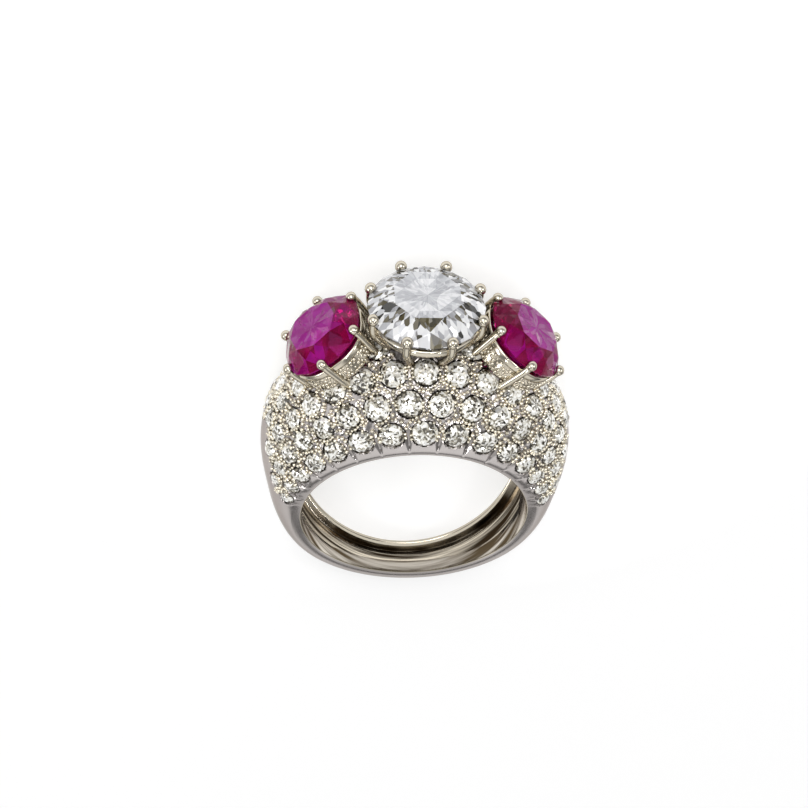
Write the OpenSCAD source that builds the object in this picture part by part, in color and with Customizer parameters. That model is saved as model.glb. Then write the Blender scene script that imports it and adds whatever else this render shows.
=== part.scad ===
// Ruby and diamond ring: a domed head set with small diamonds, carrying one large round
// diamond between two cushion-cut rubies, on a plain shank that is hollowed on its inside.
// The ring lies on its back rim, with its head towards +Y and its front face up.

/* [Band] */
// Radius of the finger hole
hole_r = 8.3; // [7.5:0.1:9.5]
// Width of the shank at its bottom, at the edge of the hole
shank_w = 3.3; // [2.8:0.1:4.5]
// Width of the head, at the edge of the hole
head_w = 11.8; // [10:0.1:13]
// Thickness of both rims, beside the hole
rim_t = 0.45; // [0.4:0.05:0.8]
// Thickness of the shank at its bottom
shank_t = 1.4; // [1.2:0.05:2]
// Thickness of the shank at its sides
side_t = 2.35; // [2:0.05:2.8]
// Thickness of the shoulders
shoulder_t = 4.8; // [4:0.1:5.5]
// Height of the dome over the hole
dome_t = 6.9; // [6:0.1:7.5]

/* [Channel in the shank] */
// Depth of the channel
channel_depth = 0.5; // [0.3:0.05:0.7]
// Width of the rim that is left in front of the channel
front_rim_w = 1.25; // [1:0.05:1.4]
// How far the channel reaches in front of the middle plane, at most
channel_reach = 0.95; // [0.8:0.05:1.2]
// Width of the rim that is left behind it
back_rim_w = 0.65; // [0.4:0.05:0.8]

/* [Centre diamond] */
// Radius of its girdle
diamond_r = 4.3; // [4:0.1:4.5]
// Height of its girdle over the finger's centre
diamond_up = 17.4; // [17:0.1:18]
// Height of its crown
diamond_crown = 1.25; // [1:0.05:1.5]
// Depth of its pavilion
diamond_pavilion = 3.5; // [3:0.1:3.8]

/* [Rubies] */
// Half the width of a ruby
ruby_r = 3.3; // [3:0.1:3.4]
// Distance of its middle from the ring's middle plane
ruby_out = 7.35; // [7.2:0.05:7.6]
// Height of its middle over the finger's centre
ruby_up = 14.6; // [14.4:0.1:15]
// Angle that it leans outwards
ruby_lean = 41; // [38:1:44]
// Height of its crown
ruby_crown = 1.15; // [0.9:0.05:1.4]
// Depth of its pavilion
ruby_pavilion = 2.5; // [2.2:0.1:2.8]

/* [Settings] */
// Claws that hold the centre diamond
diamond_claws = 8; // [6:1:8]
// Claws that hold each ruby
ruby_claws = 6; // [4:1:6]
// Thickness of a claw
claw_d = 0.6; // [0.55:0.05:0.7]
// Diameter of the bead at the tip of a centre claw
diamond_bead_d = 0.9; // [0.85:0.05:1]
// Diameter of the bead at the tip of a ruby's claw
ruby_bead_d = 0.78; // [0.74:0.02:0.9]
// Height of a gallery rail
rail_h = 0.6; // [0.5:0.05:0.8]
// Thickness of a gallery rail
rail_t = 0.5; // [0.4:0.05:0.6]
// Gap that every stone keeps from the metal
stone_gap = 0.05; // [0.04:0.01:0.08]

/* [Small diamonds] */
// Distance of the first row from the rim, as a share of the way from rim to crest
first_row = 0.174; // [0.16:0.002:0.19]
// Distance from row to row, as a share of the same way
row_step = 0.236; // [0.23:0.002:0.24]
// Rows on each side of the crest
rows = 4; // [3:1:4]
// Diameter of a stone, as a share of the distance from row to row
stone_share = 0.85; // [0.75:0.01:0.86]
// Distance from stone to stone along a row, as a share of the distance from row to row
along_share = 1.03; // [1:0.01:1.15]
// Angle above the finger's centre at which the stones end, at the crest
field_end = 31; // [25:1:35]
// How much lower they end at the rims
field_dip = 35; // [30:1:36]

/* [Hidden] */

// The rims lie in two planes that lean apart towards the head.
mid_half_w = (shank_w + head_w) / 4;
face_slope = (head_w - shank_w) / (4 * hole_r);
face_lean = atan(face_slope);
rim_r = hole_r + rim_t;

// Steps of the outer form, round the finger and across the band
round_steps = 72;
across_steps = 14;
// How far the unfinished form stands past the rims and into the hole
spare = 0.6;
// How far outside the rims' planes the skin would end, so that they cut it with a clean edge
rim_cut = 0.03;
// How far the planes of the rims are drawn past the band's top and bottom
past_band = 3;
// Angle, to each side, over which the skin's slope is taken
small_turn = 0.5;
// Longer than anything in the ring
far = 60;
$fn = 48;

// Level at which the channel's end steps cross the middle plane, and their slant
channel_top = -1.1;
channel_slant = 44;

// Power of the rubies' cushion outline
cushion = 2.4;
ruby_axis = [sin(ruby_lean), cos(ruby_lean), 0];
// Radius of the table and of the flat at the point, as shares of a stone's radius
table_share = 0.6;
culet_share = 0.06;
// Turn from one main facet of a big stone to the next
main_turn = 45;
// Radius of the ring where the star facets end, and of the one where the lower halves end
star_share = 0.8;
lower_share = 0.36;
// How much wider than the stone its room is at those rings, as a share of the radius
room_share = 0.02;
// Half the thickness of a big stone's girdle
girdle_half = 0.05;

// Heights of the rails' upper edges and of the claws' beads over the girdle
rail_top = -0.45;
bead_up = 0.32;
// Height of the lower edge of the collar that stands below a ruby's rail
collar_low = -2.35;
// How far inside the girdle the outer sides of the rails and the collar stand
diamond_rail_in = 0.15;
ruby_rail_in = 0.1;
collar_in = 0.25;
// How far the beads' middles stand outside the girdle
bead_out = 0.08;
// How far the knees of the centre claws are thicker than the claws
knee_share = 1.05;
// The wells below the big stones: depth under the stone, and how far under the girdle they end
well_deep = 0.5;
well_top = 1.2;
// Their radii at the lower and at the upper end
DIAMOND_WELL = [0.5, 2];
RUBY_WELL = [0.6, 2.2];
// Distance that the small stones' middles keep from the axes of the settings
diamond_room = 3.1;
ruby_room = 2.8;

// How deep a small stone's girdle sits under the skin
stone_sink = 0.12;
// Radius of the flat floor of its seat
seat_floor = 0.1;
// Points of a seat's round walls
seat_sides = 24;
// How sharply the field's lower edge drops towards the rims
dip_power = 1.6;
// How far above that edge the last stone of a row stays, as a share of a step along the row
last_share = 0.45;
// Rings of a small stone from its point up, as shares of its radius
STONE_RINGS = [
    // radius, height over the girdle
    [0.08, -0.8],
    [1, -0.03],
    [1, 0.03],
    [table_share, 0.32],
];

// How far the ring reaches from the finger's centre as it lies, down and up the page
low_reach = rim_r * cos(face_lean)
    + norm([(shank_t - rim_t) * cos(face_lean), half_w(-rim_r) * sin(face_lean)]);
high_reach = (diamond_up + bead_up) * cos(face_lean)
    + (diamond_r + bead_out) * cos(180 / diamond_claws) * sin(face_lean) + diamond_bead_d / 2;

// Thickness of the band by the angle above the level of the finger's centre
THICKNESS = [
    // angle, thickness
    [-90, shank_t],
    [-45, (shank_t + side_t) / 2 - 0.2],
    [0, side_t],
    [35, shoulder_t],
    [90, dome_t],
];

// Distance of a rim from the middle plane at height y
function half_w(y) = mid_half_w + face_slope * y;

// The angle above the level, the same on the left and on the right
function rise(a) = asin(sin(a));

// Eases from 0 to 1 with level ends
function eased(t) = t * t * (3 - 2 * t);

// Slope of the thickness at row i of its table, level at both ends
function table_slope(i) =
    i == 0 || i == len(THICKNESS) - 1 ? 0 :
    (THICKNESS[i + 1][1] - THICKNESS[i - 1][1]) / (THICKNESS[i + 1][0] - THICKNESS[i - 1][0]);

// The row of the table that starts the stretch with angle a in it
function table_row(a, i = 0) =
    i >= len(THICKNESS) - 2 || a <= THICKNESS[i + 1][0] ? i : table_row(a, i + 1);

// Thickness at angle a, a smooth curve through the table's rows
function thickness(a) =
    let (
        up = rise(a),
        i = table_row(up),
        low = THICKNESS[i],
        high = THICKNESS[i + 1],
        span = high[0] - low[0],
        t = (up - low[0]) / span
    )
    low[1] + (high[1] - low[1]) * eased(t)
    + span * t * (1 - t) * ((1 - t) * table_slope(i) - t * table_slope(i + 1));

// A point of the outer form at angle a round the finger. The section is half an ellipse,
// and f runs along it from 0 at the back rim over 90 at the crest to 180 at the front rim.
function skin(a, f) =
    let (
        r = rim_r + (thickness(a) - rim_t) * sin(f),
        z = -cos(f) * (half_w(rim_r * sin(a)) + rim_cut)
    )
    [r * cos(a), r * sin(a), z];

// The outward direction there
function skin_normal(a, f) =
    let (
        along = skin(a + small_turn, f) - skin(a - small_turn, f),
        across = skin(a, f + small_turn) - skin(a, f - small_turn),
        n = cross(along, across)
    )
    n / norm(n);

// Section of the unfinished form: the ellipse, with straight walls past both rims
function section(a) =
    let (
        edge = half_w(rim_r * sin(a)) + spare,
        inner = hole_r - spare
    )
    [
        [inner * cos(a), inner * sin(a), -edge],
        [rim_r * cos(a), rim_r * sin(a), -edge],
        for (i = [0:across_steps]) skin(a, 180 * i / across_steps),
        [rim_r * cos(a), rim_r * sin(a), edge],
        [inner * cos(a), inner * sin(a), edge],
    ];

// Solid between rings of equally many points, closed into a loop
module loop_of(rings) {
    count = len(rings);
    side = len(rings[0]);
    polyhedron(
        points = [for (ring = rings) each ring],
        faces = [
            for (i = [0:count - 1], j = [0:side - 1])
                let (a = i * side, b = ((i + 1) % count) * side, k = (j + 1) % side)
                each [[a + j, b + k, b + j], [a + j, a + k, b + k]]
        ]
    );
}

// Solid between rings of equally many points, from low to high, closed by flat ends
module stack_of(rings) {
    count = len(rings);
    side = len(rings[0]);
    polyhedron(
        points = [for (ring = rings) each ring],
        faces = [
            [for (j = [0:side - 1]) j],
            for (i = [0:count - 2], j = [0:side - 1])
                let (a = i * side, b = a + side, k = (j + 1) % side)
                [a + j, b + j, b + k, a + k],
            [for (j = [side - 1:-1:0]) (count - 1) * side + j],
        ]
    );
}

// Everything between the planes of the two rims, moved in by the given widths
module between_rims(back = 0, front = 0) {
    low = -hole_r - past_band;
    high = hole_r + dome_t + past_band;
    rotate([90, 0, 90]) translate([0, 0, -far / 2]) linear_extrude(far)
        polygon([
            [low, -half_w(low) + back],
            [high, -half_w(high) + back],
            [high, half_w(high) - front],
            [low, half_w(low) - front],
        ]);
}

// The channel on the inside of the shank. It ends in steps that slant up towards the front,
// and its front edge runs level along the sides.
module channel() {
    intersection() {
        cylinder(r = hole_r + channel_depth, h = far, center = true);
        between_rims(back_rim_w, front_rim_w);
        translate([-far / 2, -far / 2, channel_reach - far]) cube(far);
        translate([0, channel_top, 0]) rotate([channel_slant, 0, 0])
            translate([-far / 2, -far, -far / 2]) cube(far);
    }
}

// Where a stone of the field goes

// Distance from the rim against angle f of the section, in steps of 5 degrees
function section_steps(a) =
    [for (f = 0, s = 0; f <= 90; s = s + norm(skin(a, f + 5) - skin(a, f)), f = f + 5) [s, f]];

// Distance along the surface from rim to crest
function crest_way(a) =
    let (steps = section_steps(a))
    steps[len(steps) - 1][0];

// Angle f of the section for a stone of row k
function row_angle(a, k) =
    let (steps = section_steps(a), way = steps[len(steps) - 1][0])
    lookup(way * (first_row + k * row_step), steps);

// Radius of a stone at angle a
function stone_r(a) = crest_way(a) * row_step * stone_share / 2;

// Distance from the finger's axis to a stone of row k
function row_r(a, k) =
    let (p = skin(a, row_angle(a, k)))
    norm([p[0], p[1]]);

// Angle from one stone of row k to the next one down
function next_step(a, k) = crest_way(a) * row_step * along_share / row_r(a, k) * 180 / PI;

// Lowest angle of a stone of row k
function row_end(a, k) =
    let (share = abs(cos(row_angle(a, k))))
    field_end - field_dip * pow(share, dip_power) + next_step(a, k) * last_share;

// Angles of the stones of row k on the right, from the top down. Odd rows start between
// two stones of the even ones.
function row_places(k) =
    [for (
        a = 90 - (k % 2 == 0 ? 0 : next_step(90, k) / 2);
        a > row_end(a, k);
        a = a - next_step(a, k)
    ) a];

// Distance of point p from the line through c along direction n
function off_axis(p, c, n) = norm(cross(p - c, n));

// Is there room for a stone at p beside the three settings?
function clear_of_settings(p) =
    norm([p[0], p[2]]) > diamond_room
    && off_axis([abs(p[0]), p[1], p[2]], [ruby_out, ruby_up, 0], ruby_axis) > ruby_room;

// Stones of the front half: angle round the finger, angle in the section, radius.
// Every stone has a twin on the left but the one at the very top.
FIELD = [
    for (k = [0:rows - 1], a = row_places(k))
        let (f = 180 - row_angle(a, k), p = skin(a, f))
        if (clear_of_settings(p))
            each [
                [a, f, stone_r(a)],
                if (a < 90) [180 - a, f, stone_r(a)],
            ]
];

// Places its children on the skin, with +Z outwards, lowered by the given amount
module on_skin(a, f, sink = 0) {
    p = skin(a, f);
    n = skin_normal(a, f);
    translate(p - n * sink)
        rotate([0, acos(n[2]), atan2(n[1], n[0])])
            children();
}

// Hole for a small stone, a little wider and deeper than the stone
module seat(r) {
    wide = r + stone_gap;
    deep = r * STONE_RINGS[0][1] - 2 * stone_gap;
    high = r * STONE_RINGS[3][1] + 2 * stone_gap;
    rotate_extrude($fn = seat_sides)
        polygon([[0, deep], [seat_floor, deep], [wide, 0], [wide, high], [0, high]]);
}

// Small diamond: eight sides, a flat table and a small flat at the point
module small_stone(r) {
    sides = 8;
    stack_of([for (ring = STONE_RINGS)
        [for (i = [0:sides - 1])
            let (b = 360 * (i + 0.5) / sides)
            [r * ring[0] * cos(b), r * ring[0] * sin(b), r * ring[1]]
        ]
    ]);
}

// The big stones and their settings, each drawn about its own axis, with its girdle at z = 0

// Point of a rounded outline at angle b. A power of 2 gives a circle, more gives a cushion.
function outline(r, b, power) =
    let (reach = pow(pow(abs(cos(b)), power) + pow(abs(sin(b)), power), -1 / power))
    [r * reach * cos(b), r * reach * sin(b)];

// Depth of a main facet at the given share of the radius, as a share of its whole height
function facet_height(share, end) = (1 - share) / (1 - end);

// Points of one ring of a cut stone. Its height follows from the flat main facets.
function cut_ring(r, power, ring) =
    let (
        count = ring[1],
        above = ring[3] > 0,
        end_share = above ? table_share : culet_share,
        share = ring[0] * cos(ring[2] * main_turn),
        z = ring[3] * facet_height(share, end_share) + (above ? 1 : -1) * girdle_half
    )
    [for (i = [0:count - 1])
        let (p = outline(r * ring[0], 360 * (i + ring[2]) / count, power))
        [p[0], p[1], z]
    ];

// Rings of a brilliant: share of the radius, points, turn in steps, whole height to its side
function cut_rings(crown, pavilion) = [
    // radius, points, turn, height
    [table_share, 8, 0, crown],
    [star_share, 8, 0.5, crown],
    [1, 16, 0, crown],
    [1, 16, 0, -pavilion],
    [lower_share, 8, 0.5, -pavilion],
    [culet_share, 8, 0, -pavilion],
];

// A big cut stone: the convex solid round the points of its rings
module cut_stone(r, crown, pavilion, power) {
    points = [for (ring = cut_rings(crown, pavilion)) each cut_ring(r, power, ring)];
    hull()
        polyhedron(points = points, faces = [[for (i = [0:len(points) - 1]) i]]);
}

// Room that a big stone needs, a gap wider than the stone
module stone_room(r, crown, pavilion, power) {
    wide = r + stone_gap;
    sides = 32;
    star_up = crown * facet_height(star_share * cos(main_turn / 2), table_share);
    heights = [
        // share of radius, height
        [culet_share + room_share, -pavilion - girdle_half - 2 * stone_gap],
        [1, -girdle_half - stone_gap],
        [1, girdle_half + stone_gap],
        [star_share + room_share, star_up + girdle_half + stone_gap],
        [table_share + room_share, crown + girdle_half + stone_gap],
    ];
    stack_of([for (row = heights)
        [for (i = [0:sides - 1])
            let (p = outline(wide * row[0], 360 * i / sides, power))
            [p[0], p[1], row[1]]
        ]
    ]);
}

// Round rod from point a to point b
module rod(a, b, d) {
    run = b - a;
    translate(a)
        rotate([0, acos(run[2] / norm(run)), atan2(run[1], run[0])])
            cylinder(d = d, h = norm(run));
}

// Claw in the plane through the stone's axis at angle b, along points of radius and height,
// with a bead at its tip
module claw(b, bead_d, path) {
    points = [for (p = path) [p[0] * cos(b), p[0] * sin(b), p[1]]];
    last = len(points) - 1;
    for (i = [0:last - 1])
        rod(points[i], points[i + 1], claw_d);
    if (last > 1)
        translate(points[1]) sphere(d = claw_d * knee_share);
    translate(points[last]) sphere(d = bead_d);
}

// Flat bar round the stone, its outer side at radius r, between two heights
module rail(r, power, low, high) {
    steps = 48;
    translate([0, 0, low]) linear_extrude(high - low)
        difference() {
            polygon([for (i = [0:steps - 1]) outline(r, 360 * i / steps, power)]);
            polygon([for (i = [0:steps - 1]) outline(r - rail_t, 360 * i / steps, power)]);
        }
}

module diamond_setting() {
    for (i = [0:diamond_claws - 1])
        claw(360 * (i + 0.5) / diamond_claws, diamond_bead_d, [
            // radius, height
            [diamond_r - 1.8, -diamond_pavilion + 0.1],
            [diamond_r - 0.1, -1.1],
            [diamond_r + bead_out, bead_up],
        ]);
    rotate_extrude()
        translate([diamond_r - diamond_rail_in - rail_t, rail_top - rail_h]) square([rail_t, rail_h]);
}

module ruby_setting() {
    for (i = [0:ruby_claws - 1])
        let (b = 90 + 360 * i / ruby_claws, r = norm(outline(ruby_r, b, cushion)))
        claw(b, ruby_bead_d, [
            // radius, height
            [r * 0.9, -ruby_pavilion - 0.8],
            [r + bead_out, bead_up],
        ]);
    rail(ruby_r - ruby_rail_in, cushion, rail_top - rail_h, rail_top);
    rail(ruby_r - collar_in, cushion, collar_low, rail_top - rail_h / 2);
}

// Hollow in the dome below a stone's point
module well(pavilion, radii) {
    translate([0, 0, -pavilion - well_deep])
        cylinder(r1 = radii[0], r2 = radii[1], h = pavilion + well_deep - well_top);
}

// Places the centre diamond's things, with +Z up the head
module at_diamond() translate([0, diamond_up, 0]) rotate([-90, 0, 0]) children();

// Places a ruby's things: side is 0 on the right and 1 on the left
module at_ruby(side)
    mirror([side, 0, 0])
        translate([ruby_out, ruby_up, 0]) rotate([0, 0, -ruby_lean]) rotate([-90, 0, 0]) children();

// Lays the upright ring on its back rim, with the middle of its length over the origin
module laid_down()
    translate([0, (low_reach - high_reach) / 2, mid_half_w * cos(face_lean)])
        rotate([face_lean, 0, 0])
            children();

module band() {
    intersection() {
        loop_of([for (i = [0:round_steps - 1]) section(360 * i / round_steps)]);
        between_rims();
    }
}

module ring_mount() color("silver") laid_down() {
    difference() {
        union() {
            band();
            at_diamond() diamond_setting();
            for (side = [0, 1]) at_ruby(side) ruby_setting();
        }
        cylinder(r = hole_r, h = far, center = true);
        channel();
        for (side = [0, 1], s = FIELD)
            mirror([0, 0, side]) on_skin(s[0], s[1], stone_sink) seat(s[2]);
        at_diamond() {
            stone_room(diamond_r, diamond_crown, diamond_pavilion, 2);
            well(diamond_pavilion, DIAMOND_WELL);
        }
        for (side = [0, 1]) at_ruby(side) {
            stone_room(ruby_r, ruby_crown, ruby_pavilion, cushion);
            well(ruby_pavilion, RUBY_WELL);
        }
    }
}

module centre_diamond()
    color("white") laid_down() at_diamond() cut_stone(diamond_r, diamond_crown, diamond_pavilion, 2);

module left_ruby()
    color("crimson") laid_down() at_ruby(1) cut_stone(ruby_r, ruby_crown, ruby_pavilion, cushion);

module right_ruby()
    color("crimson") laid_down() at_ruby(0) cut_stone(ruby_r, ruby_crown, ruby_pavilion, cushion);

module half_pave() {
    for (s = FIELD) on_skin(s[0], s[1], stone_sink) small_stone(s[2]);
}

module pave_front() color("white") laid_down() half_pave();

module pave_back() color("white") laid_down() mirror([0, 0, 1]) half_pave();

ring_mount();
centre_diamond();
left_ruby();
right_ruby();
pave_front();
pave_back();
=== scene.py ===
"""Ruby and diamond ring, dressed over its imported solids.

Sizes are in millimetres and in the frame of the upright ring: X to the right, Y up to the head, Z to the
front, with the finger along Z. LyingFrame turns them into the part's own frame, where the ring lies on its
back rim, and into metres.
"""
from __future__ import annotations

import logging
import math
from dataclasses import dataclass, field, replace
from enum import Enum, IntEnum

import bpy
import numpy as np
from mathutils import Matrix

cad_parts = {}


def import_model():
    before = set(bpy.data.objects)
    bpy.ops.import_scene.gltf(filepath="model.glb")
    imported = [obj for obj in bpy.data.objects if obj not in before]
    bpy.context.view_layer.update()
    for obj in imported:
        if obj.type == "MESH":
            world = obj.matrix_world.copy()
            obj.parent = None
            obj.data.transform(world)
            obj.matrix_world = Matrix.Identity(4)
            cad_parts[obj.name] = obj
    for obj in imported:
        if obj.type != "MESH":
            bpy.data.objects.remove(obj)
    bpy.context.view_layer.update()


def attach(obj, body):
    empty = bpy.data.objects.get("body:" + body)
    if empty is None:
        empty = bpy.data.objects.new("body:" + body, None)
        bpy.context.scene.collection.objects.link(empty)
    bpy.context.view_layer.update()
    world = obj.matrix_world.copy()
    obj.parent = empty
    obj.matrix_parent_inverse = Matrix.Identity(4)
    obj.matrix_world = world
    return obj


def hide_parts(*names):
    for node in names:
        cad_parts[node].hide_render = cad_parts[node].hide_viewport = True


Array = np.ndarray
Colour = tuple[float, float, float]
Stops = tuple[tuple[float, Colour], ...]

LOG = logging.getLogger("ring")
BODY = "root"
MM = 0.001
PHOTO_SIDE = 808
FRONT = np.array([0.0, 0.0, 1.0])
GOLD_TINT = (0.55, 0.52, 0.50, 1.0)


class Slot(Enum):
    """The record's material slots."""

    METAL = "white_gold"
    DIAMOND = "diamond"
    RUBY = "ruby"
    SMALL = "small_diamond"


# Helpers


def unit(v: Array) -> Array:
    """Vectors of length 1: each vector over its own length.

    Args:
        v: vectors, with their three values on the last axis.

    Returns:
        The unit vectors, in the same layout.
    """
    return v / np.maximum(np.linalg.norm(v, axis=-1, keepdims=True), 1e-12)


def smooth(x: Array, low: float, high: float) -> Array:
    """Eases from 0 at low to 1 at high, as 3t^2 - 2t^3.

    Args:
        x: the values.
        low: where it is still 0.
        high: where it has reached 1.

    Returns:
        Values from 0 to 1.
    """
    t = np.clip((x - low) / (high - low), 0.0, 1.0)
    return t * t * (3.0 - 2.0 * t)


def grid_quads(rows: int, columns: int, close_rows: bool, close_columns: bool) -> Array:
    """Corner numbers of the quads of a grid whose points are counted row by row.

    Args:
        rows: points along the first axis.
        columns: points along the second axis.
        close_rows: joins the last row to the first.
        close_columns: joins the last column to the first.

    Returns:
        An array of four corners a quad.
    """
    i = np.arange(rows if close_rows else rows - 1)
    j = np.arange(columns if close_columns else columns - 1)
    i, j = np.meshgrid(i, j, indexing="ij")
    k, m = (i + 1) % rows, (j + 1) % columns
    quads = np.stack([i * columns + j, k * columns + j, k * columns + m, i * columns + m], -1)
    return quads.reshape(-1, 4)


def circle(count: int) -> Array:
    """Angles of so many points that are evenly spaced on a circle, from 0."""
    return 2 * math.pi * np.arange(count) / count


def angle_off(a: Array, b: float) -> Array:
    """Angle between directions a and b, from 0 to a straight angle, all in radians."""
    return np.abs((a - b + math.pi) % (2 * math.pi) - math.pi)


@dataclass(frozen=True)
class LyingFrame:
    """Where the upright ring's frame lies in the part's frame."""

    lean: float
    shift_y: float
    lift: float

    def place(self, points: Array) -> Array:
        """Points of the upright ring, in millimetres, as points of the lying part, in metres.

        They turn about X by the lean of the rims, then move along Y and up.

        Args:
            points: three values on the last axis.

        Returns:
            The points in the part's frame.
        """
        c, s = math.cos(self.lean), math.sin(self.lean)
        x, y, z = points[..., 0], points[..., 1], points[..., 2]
        moved = np.stack([x, y * c - z * s + self.shift_y, y * s + z * c + self.lift], -1)
        return moved * MM

    def turn(self) -> Matrix:
        """The same turn as a matrix."""
        return Matrix.Rotation(self.lean, 3, "X")


@dataclass
class Shell:
    """Points and faces of a surface, which can be put together with others into one piece."""

    points: Array
    faces: list[Array]
    values: dict[str, Array] = field(default_factory=dict)
    face_values: dict[str, Array] = field(default_factory=dict)
    face_finish: Array | None = None

    @staticmethod
    def joined(shells: list["Shell"]) -> "Shell":
        """One shell out of several.

        Args:
            shells: the shells, with the same named values.

        Returns:
            A shell with all their points and faces.
        """
        starts = np.cumsum([0] + [len(s.points) for s in shells[:-1]])
        faces = [f + start for s, start in zip(shells, starts) for f in s.faces]
        values = {n: np.concatenate([s.values[n] for s in shells]) for n in shells[0].values}
        return Shell(np.concatenate([s.points for s in shells]), faces, values)


def build_mesh(name: str, shell: Shell, frame: LyingFrame,
               sharp_deg: float | None = None) -> bpy.types.Object:
    """A new object of a shell, with its place in its mesh.

    Points of the back rim that would lie a hair below the floor are flattened onto it.

    Args:
        name: the piece's name.
        shell: points in millimetres in the upright ring's frame, faces, and values for each point.
        frame: where the ring lies.
        sharp_deg: edges with a greater angle stay sharp, and without it every face is flat.

    Returns:
        The new object.
    """
    counts = np.concatenate([np.full(len(f), f.shape[1], np.int32) for f in shell.faces])
    corners = np.concatenate([f.reshape(-1) for f in shell.faces]).astype(np.int32)
    starts = np.concatenate([[0], np.cumsum(counts)[:-1]]).astype(np.int32)
    mesh = bpy.data.meshes.new(name)
    mesh.vertices.add(len(shell.points))
    placed = frame.place(shell.points)
    placed[:, 2] = np.maximum(placed[:, 2], 0.0)
    mesh.vertices.foreach_set("co", placed.astype(np.float32).reshape(-1))
    mesh.loops.add(len(corners))
    mesh.loops.foreach_set("vertex_index", corners)
    mesh.polygons.add(len(counts))
    mesh.polygons.foreach_set("loop_start", starts)
    mesh.polygons.foreach_set("loop_total", counts)
    mesh.update(calc_edges=True)
    mesh.polygons.foreach_set("use_smooth", np.full(len(counts), sharp_deg is not None))
    if shell.face_finish is not None:
        mesh.polygons.foreach_set("material_index", shell.face_finish.astype(np.int32))
    for domain, named in (("POINT", shell.values), ("FACE", shell.face_values)):
        for key, value in named.items():
            layer = mesh.attributes.new(key, "FLOAT", domain)
            layer.data.foreach_set("value", value.astype(np.float32))
    mesh.validate()
    if sharp_deg is not None:
        mesh.set_sharp_from_angle(angle=math.radians(sharp_deg))
    obj = bpy.data.objects.new(name, mesh)
    bpy.context.scene.collection.objects.link(obj)
    return obj


def add_piece(obj: bpy.types.Object, finishes: list[bpy.types.Material],
              nodes: list[str]) -> bpy.types.Object:
    """Gives a new piece of the ring its materials, hangs it under the ring's body, and hides the solids that
    it stands for.

    Args:
        obj: the piece.
        finishes: its materials, in order of their face numbers.
        nodes: solids that it stands for.

    Returns:
        The same piece.
    """
    for material in finishes:
        obj.data.materials.append(material)
    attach(obj, BODY)
    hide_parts(*nodes)
    return obj


def report(piece: bpy.types.Object) -> None:
    """Logs a piece's name and its number of triangles.

    Args:
        piece: the piece, whose faces count as so many triangles as they have corners, less two.
    """
    triangles = sum(len(face.vertices) - 2 for face in piece.data.polygons)
    LOG.info("%s: %d triangles", piece.name, triangles)


def greys(steps: tuple[tuple[float, float], ...]) -> Stops:
    """The stops of a ramp of greys, from positions and brightness."""
    return tuple((at, (grey, grey, grey)) for at, grey in steps)


def fill_ramp(node: bpy.types.Node, stops: Stops) -> bpy.types.Node:
    """Gives a new ramp its colours.

    Args:
        node: the ramp node, as it comes with its two first marks.
        stops: positions and colours, in order.

    Returns:
        The same node.
    """
    marks = node.color_ramp.elements
    while len(marks) < len(stops):
        marks.new(0.5)
    for mark, (at, colour) in zip(marks, stops):
        mark.position = at
        mark.color = (*colour, 1.0)
    return node


# Finishes


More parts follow.
